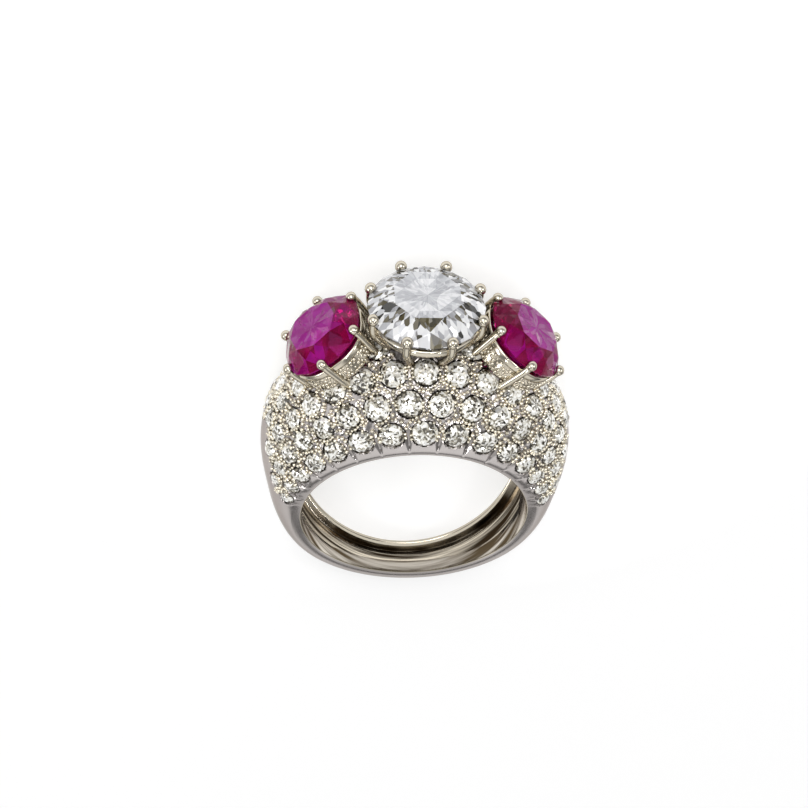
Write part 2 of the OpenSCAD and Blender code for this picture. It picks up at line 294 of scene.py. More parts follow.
class NodeBook:
    """Short ways to make the nodes of one material."""

    def __init__(self, name: str) -> None:
        """Starts an empty material with an output and a Principled shader.

        Args:
            name: the material's name.
        """
        self.material = bpy.data.materials.new(name)
        self.material.use_nodes = True
        self.tree = self.material.node_tree
        self.tree.nodes.clear()
        self.output = self.add("ShaderNodeOutputMaterial")
        self.shader = self.add("ShaderNodeBsdfPrincipled")
        self.link(self.shader, "BSDF", self.output, "Surface")

    def add(self, kind: str, **inputs: object) -> bpy.types.Node:
        """A new node with the given input values.

        Args:
            kind: name of the node's type.
            **inputs: values of sockets, with underscores for blanks.

        Returns:
            The node.
        """
        node = self.tree.nodes.new(kind)
        self.fill(node, **inputs)
        return node

    @staticmethod
    def fill(node: bpy.types.Node, **inputs: object) -> None:
        """Sets sockets of a node, whose names have underscores for blanks."""
        for key, value in inputs.items():
            node.inputs[key.replace("_", " ")].default_value = value

    def link(self, a: bpy.types.Node, out: str | int, b: bpy.types.Node, into: str | int) -> None:
        """Links an output of node a to an input of node b."""
        self.tree.links.new(a.outputs[out], b.inputs[into])

    def on_object(self, node: bpy.types.Node) -> bpy.types.Node:
        """Puts a node's pattern on the object's own coordinates, in metres, and returns the node."""
        self.link(self.add("ShaderNodeTexCoord"), "Object", node, "Vector")
        return node

    def value(self, name: str) -> bpy.types.Node:
        """A value that the mesh carries.

        Args:
            name: the value's name.

        Returns:
            The node that reads it.
        """
        node = self.add("ShaderNodeAttribute")
        node.attribute_name = name
        return node

    def noise(self, scale: float, detail: float, rough: float = 0.5) -> bpy.types.Node:
        """Noise over the object's own coordinates.

        Args:
            scale: cells a metre.
            detail: octaves.
            rough: share of the finer octaves.

        Returns:
            The noise node.
        """
        node = self.add("ShaderNodeTexNoise", Scale=scale, Detail=detail, Roughness=rough)
        return self.on_object(node)

    def ramp(self, source: bpy.types.Node, out: str | int, stops: Stops) -> bpy.types.Node:
        """A colour ramp over a value.

        Args:
            source: the node that gives the value.
            out: its output.
            stops: positions and colours, in order.

        Returns:
            The ramp node.
        """
        node = fill_ramp(self.add("ShaderNodeValToRGB"), stops)
        self.link(source, out, node, "Fac")
        return node

    def gradient(self, kind: str, source: bpy.types.Node) -> bpy.types.Node:
        """A gradient over a vector.

        Args:
            kind: RADIAL gives the angle round Z in turns, SPHERICAL falls from 1 at the middle to 0.
            source: the node that gives the vector.

        Returns:
            The gradient node.
        """
        node = self.add("ShaderNodeTexGradient")
        node.gradient_type = kind
        self.link(source, "Vector", node, "Vector")
        return node

    def vector_step(self, kind: str, source: bpy.types.Node, out: str,
                    by: Colour | None = None) -> bpy.types.Node:
        """One step of arithmetic on a vector.

        Args:
            kind: name of the step.
            source: the node that gives the vector.
            out: its output.
            by: the second vector, where the step takes one.

        Returns:
            The node.
        """
        node = self.tree.nodes.new("ShaderNodeVectorMath")
        node.operation = kind
        if by is not None:
            node.inputs[1].default_value = by
        self.link(source, out, node, 0)
        return node

    def tip_normals(self, cells: bpy.types.Node, bend: float) -> None:
        """Tips the surface's normal by each cell's random colour: the normal plus a share of it, less a half.

        Args:
            cells: the Voronoi node whose colour it takes.
            bend: the share.
        """
        shape = self.add("ShaderNodeNewGeometry")
        middle = self.vector_step("SUBTRACT", cells, "Color", (0.5, 0.5, 0.5))
        tipped = self.vector_step("MULTIPLY_ADD", middle, "Vector", (bend, bend, bend))
        self.link(shape, "Normal", tipped, 2)
        level = self.vector_step("NORMALIZE", tipped, "Vector")
        self.link(level, "Vector", self.shader, "Normal")

    def metal(self, colour: bpy.types.Node, dark: Colour) -> None:
        """Makes the shader white gold, whose colour is mixed to a dark one by the mesh's value "cut": painted
        shade on the band, and a random dullness on the grains.

        Args:
            colour: the ramp that gives its plain colour.
            dark: the colour where the value is 1.
        """
        self.fill(self.shader, Metallic=1.0, Specular_Tint=GOLD_TINT)
        mix = self.tree.nodes.new("ShaderNodeMix")
        mix.data_type = "RGBA"
        mix.inputs[7].default_value = (*dark, 1.0)
        self.link(self.value("cut"), "Fac", mix, 0)
        self.link(colour, "Color", mix, 6)
        self.link(mix, 2, self.shader, "Base Color")

    def rough(self, source: bpy.types.Node, low: float, high: float) -> None:
        """Spreads a noise from the lowest to the highest roughness.

        Args:
            source: the noise node.
            low: roughness at 0.
            high: roughness at 1.
        """
        node = self.add("ShaderNodeMapRange", To_Min=low, To_Max=high)
        self.link(source, "Fac", node, "Value")
        self.link(node, "Result", self.shader, "Roughness")

    def bump(self, source: bpy.types.Node, strength: float, height: float) -> None:
        """Bends the light on the surface as a fine relief does.

        Args:
            source: the noise node that gives the relief.
            strength: how much of it shows, from 0 to 1.
            height: height of the relief in metres.
        """
        node = self.add("ShaderNodeBump", Strength=strength, Distance=height)
        self.link(source, "Fac", node, "Height")
        self.link(node, "Normal", self.shader, "Normal")


@dataclass(frozen=True)
class GoldFinish:
    """Polished white gold with fine polishing marks, darker where the mesh's value "cut" says: painted shade
    in the band's seats, between stones and at the bottom of the shank, and a random dullness on some grains.

    The sizes of its cloudy tone, of its worn patches and of its marks are in cells a metre.
    """

    name: str
    light: Colour
    dark: Colour
    low_rough: float
    high_rough: float
    marks: float
    cloud_size: float = 420.0
    patch_size: float = 2600.0
    mark_size: float = 9000.0
    mark_height: float = 0.00002
    cloud_share: float = 0.93

    def make(self) -> bpy.types.Material:
        """The material: colour by noise and by the value "cut", roughness by noise, and faint marks.

        Returns:
            The material.
        """
        book = NodeBook(self.name)
        cloud = tuple(self.cloud_share * c for c in self.light)
        tone = book.noise(self.cloud_size, 4.0)
        book.metal(book.ramp(tone, "Fac", ((0.30, cloud), (0.70, self.light))), self.dark)
        book.rough(book.noise(self.patch_size, 5.0, 0.6), self.low_rough, self.high_rough)
        book.bump(book.noise(self.mark_size, 3.0), self.marks, self.mark_height)
        return book.material


@dataclass(frozen=True)
class StreakedFinish:
    """White gold with streaks that run round the finger, partly marks of turning and partly painted highlight
    and shade streaks, and darker where the value "cut" paints shade.

    The streaks' sizes along and across them are in cells a metre, and lean is that of the lying ring.
    """

    name: str
    light: Colour
    dark: Colour
    rough: float
    across_size: float
    lean: float
    along_size: float = 90.0
    relief: float = 0.5
    relief_height: float = 0.00012
    smooth_share: float = 0.7

    def make(self) -> bpy.types.Material:
        """The material: noise that is stretched in the ring's plane colours the metal and bends its light.

        The value "cut" darkens it with painted shade, as it does on the polished metal.

        Returns:
            The material.
        """
        book = NodeBook(self.name)
        sizes = (self.along_size, self.along_size, self.across_size)
        stretched = book.add("ShaderNodeMapping", Rotation=(-self.lean, 0.0, 0.0), Scale=sizes)
        book.on_object(stretched)
        streaks = book.add("ShaderNodeTexNoise", Scale=1.0, Detail=3.0, Roughness=0.6)
        book.link(stretched, "Vector", streaks, "Vector")
        # the streaks' colours stand partly for painted highlight and shade streaks
        book.metal(book.ramp(streaks, "Fac", ((0.40, self.dark), (0.60, self.light))), self.dark)
        book.rough(streaks, self.smooth_share * self.rough, self.rough)
        book.bump(streaks, self.relief, self.relief_height)
        return book.material


@dataclass(frozen=True)
class Flakes:
    """Small flat flakes all of one size, so many a metre."""

    count: float

    def cells(self, book: NodeBook) -> bpy.types.Node:
        """Voronoi cells of the place on the ring."""
        return book.on_object(book.add("ShaderNodeTexVoronoi", Scale=self.count))


@dataclass(frozen=True)
class Slivers:
    """Flat flakes that are long away from a stone's axis: so many round it, and so many out to the girdle."""

    round_axis: float
    outwards: float

    def cells(self, book: NodeBook) -> bpy.types.Node:
        """Voronoi cells of the angle round the axis, in turns, and of the distance from it.

        Both follow from the points' own values "across" and "along", in shares of the stone's radius.

        Args:
            book: the material's nodes.

        Returns:
            The Voronoi node.
        """
        flat, polar = book.add("ShaderNodeCombineXYZ"), book.add("ShaderNodeCombineXYZ")
        book.link(book.value("across"), "Fac", flat, "X")
        book.link(book.value("along"), "Fac", flat, "Y")
        book.link(book.gradient("RADIAL", flat), "Fac", polar, "X")
        book.link(book.vector_step("LENGTH", flat, "Vector"), "Value", polar, "Y")
        spread = book.vector_step("MULTIPLY", polar, "Vector", (self.round_axis, self.outwards, 0.0))
        made = book.add("ShaderNodeTexVoronoi", Scale=1.0)
        book.link(spread, "Vector", made, "Vector")
        return made


@dataclass(frozen=True)
class StoneFinish:
    """A cut stone whose facets each take a shade of their own, as they do by what they mirror inside."""

    name: str
    shades: Stops
    shine: Colour
    ior: float
    clear: float
    mirror: float
    pattern: Flakes | Slivers
    bend: float
    low_rough: float
    high_rough: float
    haze_size: float = 3000.0

    def make(self) -> bpy.types.Material:
        """The material: each facet's own value "tone", broken up by small flat flakes, goes through a ramp.

        The facet's value "broken" is the flakes' share. Each flake also tips the surface's normal its own
        way, as the facets that are seen through a stone do.

        Returns:
            The material.
        """
        book = NodeBook(self.name)
        cells = self.pattern.cells(book)
        mix = book.tree.nodes.new("ShaderNodeMix")
        mix.data_type = "FLOAT"
        book.link(book.value("broken"), "Fac", mix, 0)
        book.link(book.value("tone"), "Fac", mix, 2)
        book.link(cells, "Color", mix, 3)
        book.link(book.ramp(mix, 0, self.shades), "Color", book.shader, "Base Color")
        book.fill(book.shader, Metallic=self.mirror, Transmission_Weight=self.clear, IOR=self.ior,
                  Specular_Tint=(*self.shine, 1.0))
        book.tip_normals(cells, self.bend)
        book.rough(book.noise(self.haze_size, 2.0), self.low_rough, self.high_rough)
        return book.material


@dataclass(frozen=True)
class FloorFinish:
    """The plain pale surface that the ring lies on.

    Its glow is a painted pool of light that follows a wide disc about a point on the head's side of the
    ring: full near that point, where it lifts the ring's shade, weaker further out, and none past the
    disc. The disc's radius is 1 over disc_scale in metres, and disc_shift is in such radii. The steps list
    the glow from the disc's edge inwards.
    """

    name: str
    colour: Colour
    glow: float
    glow_steps: tuple[tuple[float, float], ...] = ((0.0, 0.0), (0.30, 0.45), (0.62, 0.45), (0.68, 1.0))
    disc_scale: float = 8.0
    disc_shift: float = -0.24
    cloud_size: float = 30.0
    cloud_share: float = 0.99

    def make(self) -> bpy.types.Material:
        """The material: a matt pale colour with the faintest mottling, and a soft glow.

        Returns:
            The material.
        """
        book = NodeBook(self.name)
        cloud = tuple(self.cloud_share * c for c in self.colour)
        tone = book.ramp(book.noise(self.cloud_size, 2.0), "Fac", ((0.2, cloud), (0.8, self.colour)))
        book.link(tone, "Color", book.shader, "Base Color")
        # painted pool of light: the glow is full on the head's side and weaker further out
        spread = book.add("ShaderNodeMapping", Location=(0.0, self.disc_shift, 0.0),
                          Scale=(self.disc_scale, self.disc_scale, self.disc_scale))
        disc = book.gradient("SPHERICAL", book.on_object(spread))
        light_pool = book.ramp(disc, "Fac", greys(self.glow_steps))
        book.link(light_pool, "Color", book.shader, "Emission Color")
        book.fill(book.shader, Roughness=0.9, Emission_Strength=self.glow)
        return book.material


# The band


@dataclass(frozen=True)
class BandForm:
    """Sizes of the band, and its form as a function of two angles."""

    hole_r: float = 8.3
    shank_w: float = 3.3
    head_w: float = 11.8
    rim_t: float = 0.45
    shank_t: float = 1.4
    side_t: float = 2.35
    shoulder_t: float = 4.8
    dome_t: float = 6.9
    rim_cut: float = 0.03
    side_hollow: float = 0.2
    table_at: tuple[float, ...] = (-90.0, -45.0, 0.0, 35.0, 90.0)
    slope_step: float = 0.008
    edge_limit: float = 60.0
    halvings: int = 40

    @property
    def rim_r(self) -> float:
        """Outer radius of the rims."""
        return self.hole_r + self.rim_t

    @property
    def slope(self) -> float:
        """How fast the rims lean apart towards the head."""
        return (self.head_w - self.shank_w) / (4.0 * self.hole_r)

    @property
    def mid_half_w(self) -> float:
        """Half the band's width at the level of the finger's centre."""
        return (self.shank_w + self.head_w) / 4.0

    def half_w(self, y: Array | float) -> Array | float:
        """Distance of a rim from the middle plane at height y, which grows evenly."""
        return self.mid_half_w + self.slope * y

    def thickness(self, a: Array) -> Array:
        """Thickness of the band at angle a: a smooth curve through a short table.

        The table gives the thickness at the angles above the level that table_at lists, in degrees. Between
        two rows the curve is a cubic with the table's slope at both ends.

        Args:
            a: angles round the finger, in radians.

        Returns:
            Thicknesses in millimetres.
        """
        at = np.array(self.table_at)
        low_side_t = (self.shank_t + self.side_t) / 2 - self.side_hollow
        t = np.array([self.shank_t, low_side_t, self.side_t, self.shoulder_t, self.dome_t])
        slope = np.zeros(len(t))
        slope[1:-1] = (t[2:] - t[:-2]) / (at[2:] - at[:-2])
        up = np.degrees(np.arcsin(np.clip(np.sin(a), -1.0, 1.0)))
        i = np.clip(np.searchsorted(at, up) - 1, 0, len(t) - 2)
        span = at[i + 1] - at[i]
        u = (up - at[i]) / span
        return (t[i] + (t[i + 1] - t[i]) * u * u * (3 - 2 * u)
                + span * u * (1 - u) * ((1 - u) * slope[i] - u * slope[i + 1]))

    def skin(self, a: Array, f: Array) -> Array:
        """Points of the outer form.

        The section is half an ellipse, and f runs along it from 0 at the back rim over a right angle at
        the crest to a straight angle at the front rim.

        Args:
            a: angles round the finger, in radians.
            f: angles in the section, in radians.

        Returns:
            Points in millimetres.
        """
        r = self.rim_r + (self.thickness(a) - self.rim_t) * np.sin(f)
        z = -np.cos(f) * (self.half_w(self.rim_r * np.sin(a)) + self.rim_cut)
        return np.stack([r * np.cos(a), r * np.sin(a), z], -1)

    def normal(self, a: Array, f: Array) -> Array:
        """Outward directions of the outer form: the cross product of its two slopes.

        Args:
            a: angles round the finger, in radians.
            f: angles in the section, in radians.

        Returns:
            Vectors of length 1.
        """
        step = self.slope_step
        along = self.skin(a + step, f) - self.skin(a - step, f)
        across = self.skin(a, f + step) - self.skin(a, f - step)
        return unit(np.cross(along, across))

    def seat(self, a: Array, f: Array) -> tuple[Array, Array, Array, Array]:
        """Places on the outer form with three directions at right angles to each other.

        They are the normal, its cross product with the front, and the cross product of these two.

        Args:
            a: angles round the finger, in radians.
            f: angles in the section, in radians.

        Returns:
            Points, normals, and two directions along the skin.
        """
        normal = self.normal(a, f)
        side = unit(np.cross(normal, FRONT))
        return self.skin(a, f), normal, side, np.cross(normal, side)

    def edge_angle(self, a: Array) -> Array:
        """Angle f at which the outer form meets the back rim's plane, found by halving.

        Args:
            a: angles round the finger, in radians.

        Returns:
            Angles f in radians.
        """
        low, high = np.zeros_like(a), np.full_like(a, math.radians(self.edge_limit))
        for _ in range(self.halvings):
            mid = (low + high) / 2
            p = self.skin(a, mid)
            outside = -p[..., 2] > self.half_w(p[..., 1])
            low = np.where(outside, mid, low)
            high = np.where(outside, high, mid)
        return (low + high) / 2


@dataclass(frozen=True)
class MainStone:
    """Size and place of one of the three main stones.

    The room that it needs narrows by table_taper of its radius up to the table, and by point_taper down to
    the point.
    """

    radius: float
    crown: float
    pavilion: float
    power: float
    out: float
    up: float
    lean: float
    girdle_slack: float = 0.05
    table_taper: float = 0.4
    point_taper: float = 0.94

    @property
    def axis(self) -> Array:
        """Direction of the stone's axis, up from its girdle."""
        return np.array([math.sin(self.lean), math.cos(self.lean), 0.0])

    @property
    def centre(self) -> Array:
        """Middle of its girdle."""
        return np.array([self.out, self.up, 0.0])

    def place(self, points: Array) -> Array:
        """Points about the stone's own axis, Z up, as points of the ring.

        The stone's Z goes to its axis, its Y to the back, and its X stays in the ring's middle plane.

        Args:
            points: three values on the last axis.

        Returns:
            Points in the upright ring's frame.
        """
        side = np.array([math.cos(self.lean), -math.sin(self.lean), 0.0])
        back = np.array([0.0, 0.0, -1.0])
        return self.centre + points[..., :1] * side + points[..., 1:2] * back + points[..., 2:3] * self.axis

    def outline(self, b: Array, grow: float = 0.0) -> Array:
        """Radius of the girdle at angle b: the p-norm circle, round for power 2 and a cushion above it."""
        c, s = np.abs(np.cos(b)), np.abs(np.sin(b))
        return (self.radius + grow) * (c ** self.power + s ** self.power) ** (-1.0 / self.power)

    def room(self, points: Array, gap: float) -> Array:
        """Moves points of a claw or rail out of the stone, each straight away from its axis.

        The room is as wide as the girdle plus the gap at its middle, and narrows evenly to the table and
        to the point.

        Args:
            points: points about the stone's own axis.
            gap: distance to keep from the girdle.

        Returns:
            The points, moved where they were inside.
        """
        rho = np.hypot(points[..., 0], points[..., 1])
        b = np.arctan2(points[..., 1], points[..., 0])
        z = points[..., 2]
        upper = 1.0 - self.table_taper * np.clip((z - self.girdle_slack) / self.crown, 0.0, 1.0)
        lower = 1.0 - self.point_taper * np.clip((-self.girdle_slack - z) / self.pavilion, 0.0, 1.0)
        share = np.minimum(upper, lower)
        inside = (z < self.crown) & (z > -self.pavilion)
        need = np.where(inside, self.outline(b, gap) * share, 0.0)
        scale = np.where(rho < need, need / np.maximum(rho, 1e-6), 1.0)
        return np.stack([points[..., 0] * scale, points[..., 1] * scale, z], -1)


@dataclass(frozen=True)
class StoneField:
    """Where the small diamonds sit."""

    form: BandForm
    main: tuple[MainStone, ...]
    first_row: float = 0.174
    row_step: float = 0.236
    rows: int = 4
    stone_share: float = 0.85
    along_share: float = 1.03
    field_end: float = 31.0
    field_dip: float = 35.0
    dip_power: float = 1.6
    last_share: float = 0.45
    room: tuple[float, float, float] = (3.1, 2.8, 2.8)
    way_step: float = 5.0

    def ways(self, a: float) -> tuple[Array, Array]:
        """Distance from the rim along the section at angle a, in even steps up to the crest.

        Args:
            a: the angle in degrees.

        Returns:
            Distances and the section's angles in degrees.
        """
        f = np.arange(0.0, 90.0 + self.way_step / 2, self.way_step)
        p = self.form.skin(np.full(len(f), math.radians(a)), np.radians(f))
        steps = np.linalg.norm(np.diff(p, axis=0), axis=1)
        return np.concatenate([[0.0], np.cumsum(steps)]), f

    def row_angle(self, a: float, k: int) -> float:
        """The section's angle of row k at angle a, in degrees."""
        way, f = self.ways(a)
        return float(np.interp(way[-1] * (self.first_row + k * self.row_step), way, f))

    def step(self, a: float, k: int) -> float:
        """Angle from one stone of a row to the next one down: the rows' distance over the radius there.

        Args:
            a: the angle of the stone, in degrees.
            k: the row's number.

        Returns:
            The angle in degrees.
        """
        p = self.form.skin(np.radians(a), np.radians(self.row_angle(a, k)))
        pitch = self.ways(a)[0][-1] * self.row_step * self.along_share
        return math.degrees(pitch / math.hypot(p[0], p[1]))

    def row_end(self, a: float, k: int) -> float:
        """Lowest angle of a stone of row k, in degrees: lower at the rims than at the crest."""
        share = abs(math.cos(math.radians(self.row_angle(a, k))))
        return self.field_end - self.field_dip * share ** self.dip_power + self.step(a, k) * self.last_share

    def clear(self, p: Array) -> bool:
        """Whether a point keeps its distance from the axes of the three settings.

        Args:
            p: the point.

        Returns:
            True where a stone has room.
        """
        for stone, room in zip(self.main, self.room):
            if np.linalg.norm(np.cross(p - stone.centre, stone.axis)) <= room:
                return False
        return True

    def places(self) -> Array:
        """Places of all small diamonds, row by row and down from the top.

        Odd rows start between two stones of the even ones. The left half mirrors the right half, and the
        back half the front half.

        Returns:
            For each stone, the front half first: its angle round the finger and its angle in the section,
            in degrees, its radius, and its row.
        """
        found = []
        for k in range(self.rows):
            a = 90.0 - (0.0 if k % 2 == 0 else self.step(90.0, k) / 2)
            while a > self.row_end(a, k):
                f = 180.0 - self.row_angle(a, k)
                p = self.form.skin(np.radians(a), np.radians(f))
                if self.clear(p):
                    r = self.ways(a)[0][-1] * self.row_step * self.stone_share / 2
                    found.append((a, f, r, k))
                    if a < 90.0:
                        found.append((180.0 - a, f, r, k))
                a -= self.step(a, k)
        front = np.array(found)
        back = front.copy()
        back[:, 1] = 180.0 - back[:, 1]
        return np.concatenate([front, back])


class BandPart(IntEnum):
    """The parts of the band that differ in their finish, by their face numbers."""

    OUTSIDE = 0
    WALL = 1
    CHANNEL = 2
    EDGE = 3


@dataclass
class Band:
    """The shank and the domed head as one closed skin, cut for its stones.

    Pairs of sizes are the two limits between which something fades. seat_wall, line_fade and pit_edge are
    distances from a stone's edge, bottom_shade_from and inside_bottom_shade_from are depths below the finger's centre over
    the radius, and notch_end is in shares of a notch's length. The channel's walls run between two
    wall_shares of its depth, and it counts as open from open_share of its full depth. The groove lies at
    groove_share of the back rim's width, and a rounded edge bends at edge_share of its size. The strips are
    numbered from the front rim along the inner profile.
    """

    form: BandForm
    stones: StoneField
    frame: LyingFrame
    channel_depth: float = 0.5
    channel_reach: float = 0.95
    front_rim_w: float = 1.25
    back_rim_w: float = 0.65
    groove_w: float = 0.10
    groove_depth: float = 0.06
    groove_share: float = 0.45
    channel_top: float = -1.1
    channel_slant: float = 44.0
    channel_ease: float = 0.12
    wall_slant: float = 0.01
    wall_shares: tuple[float, float] = (0.15, 0.85)
    open_share: float = 0.3
    floor_round: float = 0.06
    edge_round: float = 0.07
    edge_share: float = 0.3
    lip_w: float = 0.12
    low_lip_w: float = 0.05
    seat_depth: float = 0.42
    seat_wall: tuple[float, float] = (-0.02, 0.08)
    lip: float = 0.028
    lip_at: float = 0.14
    lip_fade: float = 0.07
    inset: float = 0.004
    rim_fade: float = 0.006
    pit_edge: tuple[float, float] = (0.47, 0.59)
    pit_depth: float = 0.07
    # painted shade between near stones and in a thin line at each seat's rim
    pit_shade: float = 0.36
    line_at: float = 0.03
    line_fade: tuple[float, float] = (0.015, 0.07)
    seat_line_shade: float = 0.55
    # painted shade: the metal is darkened towards the bottom of the shank, outside and on the wall's front
    # part
    bottom_shade: float = 0.95
    bottom_shade_from: tuple[float, float] = (0.74, 0.97)
    inside_bottom_shade: float = 0.45
    inside_bottom_shade_from: tuple[float, float] = (0.62, 0.96)
    notch_depth: float = 0.11
    notch_start: float = 0.03
    notch_share: float = 0.50
    notch_end: tuple[float, float] = (0.75, 1.15)
    stone_turn: float = 0.25
    stone_height: float = 1.5
    head_steps: int = 540
    shank_steps: int = 100
    skin_steps: int = 136
    head_from: float = -20.0
    shank_from: float = 200.0
    edge_strips: tuple[int, ...] = (0, 1, 16, 17)
    lip_strips: tuple[int, ...] = (4, 12, 15)
    channel_strips: tuple[int, ...] = (5, 6, 7, 8, 9, 10, 11, 13, 14)
    wall_points: int = 5
    floor_point: int = 8

    def angles(self) -> Array:
        """Angles round the finger: close together on the head, wide apart on the shank.

        Returns:
            The angles in radians, each once.
        """
        head = np.linspace(self.head_from, self.shank_from, self.head_steps, endpoint=False)
        shank = np.linspace(self.shank_from, self.head_from + 360.0, self.shank_steps, endpoint=False)
        return np.radians(np.concatenate([head, shank]))

    def outer(self, a: Array) -> tuple[Array, Array]:
        """The outer skin with the seats, lips and notches worked into it.

        The plain form moves along its normals. Inside a stone's circle it drops to the seat's depth with
        steep walls. A low lip runs round each stone, with a thin dark line of painted shade at its seat's
        rim. Where two stones are near, the metal between them is sunk a little, as the graver leaves it,
        and darkened with painted shade. Between two stones of the first row a notch with straight walls
        widens from the rim up to the stones. The bottom of the shank is darkened with painted shade.

        Args:
            a: angles round the finger, in radians.

        Returns:
            Points by angle and by step across, and the value "cut" of painted shade.
        """
        edge = self.form.edge_angle(a)
        v = np.linspace(0.0, 1.0, self.skin_steps)
        f = edge[:, None] + (math.pi - 2 * edge[:, None]) * v
        aa = np.broadcast_to(a[:, None], f.shape)
        base = self.form.skin(aa, f)
        normal = self.form.normal(aa, f)
        drop, rise, line = np.zeros(f.shape), np.zeros(f.shape), np.zeros(f.shape)
        far = 9.0
        nearest, second = np.full(f.shape, far), np.full(f.shape, far)
        for angle, fs, r, _ in self.stones.places():
            centre = self.form.skin(np.radians(angle), np.radians(fs))
            axis = self.form.normal(np.radians(angle), np.radians(fs))
            near = angle_off(a, math.radians(angle)) < self.stone_turn
            away = base[near] - centre
            high = away @ axis
            d = np.sqrt(np.maximum((away ** 2).sum(-1) - high ** 2, 0.0))
            d = np.where(np.abs(high) < self.stone_height, d, far) - r
            drop[near] = np.maximum(drop[near], (1.0 - smooth(d, *self.seat_wall)) * self.seat_depth)
            rise[near] = np.maximum(rise[near], np.exp(-((d - self.lip_at) / self.lip_fade) ** 2) * self.lip)
            line[near] = np.maximum(line[near], 1.0 - smooth(np.abs(d - self.line_at), *self.line_fade))
            second[near] = np.clip(d, nearest[near], second[near])
            nearest[near] = np.minimum(nearest[near], d)
        between = 1.0 - smooth(second, *self.pit_edge)
        drop = np.maximum(drop, between * self.pit_depth)
        notch = self.notches(aa, f, base)
        drop = np.maximum(drop, notch * self.notch_depth)
        # painted shade: a dark line at each seat's rim, the metal between near stones, and the bottom of the
        # shank
        cut = np.maximum(self.seat_line_shade * line, self.pit_shade * between)
        cut = np.maximum(cut, self.bottom_shade * smooth(-np.sin(aa), *self.bottom_shade_from))
        fade = smooth(np.minimum(v, 1.0 - v), 0.0, self.rim_fade)
        points = base + normal * ((rise - drop) * fade - self.inset)[..., None]
        return points, cut * fade

    def notches(self, a: Array, f: Array, base: Array) -> Array:
        """How deep the notches between the first row's stones are, from 0 to 1.

        Each is a V with straight walls. Its half width grows evenly from a hair at the rim to about half
        of a stone's radius beside the stones.

        Args:
            a: angles round the finger.
            f: angles in the section.
            base: points of the plain form.

        Returns:
            Shares of the full depth.
        """
        stones = self.stones.places()
        first = stones[(stones[:, 3] == 0) & (stones[:, 1] > 90.0)]
        first = first[np.argsort(first[:, 0])]
        share = np.zeros(f.shape)
        reach = np.hypot(base[..., 0], base[..., 1])
        for low, high in zip(first[:-1], first[1:]):
            middle = math.radians((low[0] + high[0]) / 2)
            top = math.radians((low[1] + high[1]) / 2)
            side = np.abs(a - middle) * reach
            for row in (f, math.pi - f):
                t = np.maximum((math.pi - row) / (math.pi - top), 0.0)
                wide = self.notch_start + self.notch_share * t * min(low[2], high[2])
                v = np.clip(1.0 - side / wide, 0.0, 1.0) * (1.0 - smooth(t, *self.notch_end))
                share = np.maximum(share, v)
        return share

    def inner(self, a: Array) -> Array:
        """The inner profile at each angle, from the front rim's edge to the back rim's edge.

        The wall lies at the hole's radius. The channel's floor lies deeper between two rims, and its front
        end follows a plane that slants up to the front, so that it closes at the sides of the ring. A fine
        groove divides the strip between the channel and the back rim.

        Args:
            a: angles round the finger, in radians.

        Returns:
            Points by angle and by step across.
        """
        r0, e = self.form.hole_r, self.edge_round
        y = r0 * np.sin(a)
        w = self.form.half_w(y)
        edge = self.form.half_w((r0 + e) * np.sin(a))
        soft = self.edge_share * e
        near = self.form.half_w((r0 + soft) * np.sin(a))
        low = -w + self.back_rim_w
        end = (self.channel_top - y) / math.tan(math.radians(self.channel_slant))
        high = np.minimum(np.minimum(w - self.front_rim_w, self.channel_reach), end)
        high = np.clip(high, low, None)
        depth = self.channel_depth * smooth(high - low, 0.0, self.channel_ease)
        groove = self.groove_depth * depth / self.channel_depth
        mid = -w + self.groove_share * self.back_rim_w
        shallow, deep = (r0 + share * depth for share in self.wall_shares)
        lines = [
            (r0 + e, edge),
            (r0 + soft, near - soft),
            (r0, w - e),
            (r0, (w - e + high + self.lip_w) / 2),
            (r0, high + self.lip_w),
            (shallow, high + self.wall_slant),
            (deep, high - self.wall_slant),
            (r0 + depth, high - self.floor_round),
            (r0 + depth, (high + low) / 2),
            (r0 + depth, low + self.floor_round),
            (deep, low + self.wall_slant),
            (shallow, low - self.wall_slant),
            (r0, low - self.low_lip_w),
            (r0, mid + self.groove_w / 2),
            (r0 + groove, mid),
            (r0, mid - self.groove_w / 2),
            (r0, -w + e),
            (r0 + soft, -near + soft),
            (r0 + e, -edge),
        ]
        r = np.stack([np.broadcast_to(p[0], w.shape) for p in lines], -1)
        z = np.stack([p[1] for p in lines], -1)
        c, s = np.cos(a)[:, None], np.sin(a)[:, None]
        return np.stack([r * c, r * s, z], -1)

    def build(self, finishes: dict[BandPart, bpy.types.Material]) -> bpy.types.Object:
        """The band as one closed piece.

        The closed section at each angle is the inner profile, the back rim, the outer skin and the front
        rim. Both rims are one strip wide, with their edges rounded. The front part of the wall is darkened
        with painted shade at the bottom of the shank, like the outside there.

        Args:
            finishes: the material of each part.

        Returns:
            The piece.
        """
        a = self.angles()
        inner = self.inner(a)
        skin, cut = self.outer(a)
        loop = np.concatenate([inner, skin], axis=1)
        # painted shade on the wall's front part towards the bottom of the shank
        wall_shade = np.zeros(inner.shape[:2])
        bottom_shade = smooth(-np.sin(a), *self.inside_bottom_shade_from)[:, None]
        wall_shade[:, :self.wall_points] = self.inside_bottom_shade * bottom_shade
        painted_shade = np.concatenate([wall_shade, cut], axis=1)
        rows, columns = loop.shape[:2]
        quads = grid_quads(rows, columns, True, True)
        shell = Shell(loop.reshape(-1, 3), [quads], {"cut": painted_shade.reshape(-1)})
        strip = np.arange(columns)[None, :]
        floor_r = np.hypot(inner[:, self.floor_point, 0], inner[:, self.floor_point, 1])
        open_here = (floor_r > self.form.hole_r + self.open_share * self.channel_depth)[:, None]
        part = np.where(strip < inner.shape[1] - 1, BandPart.WALL, BandPart.OUTSIDE)
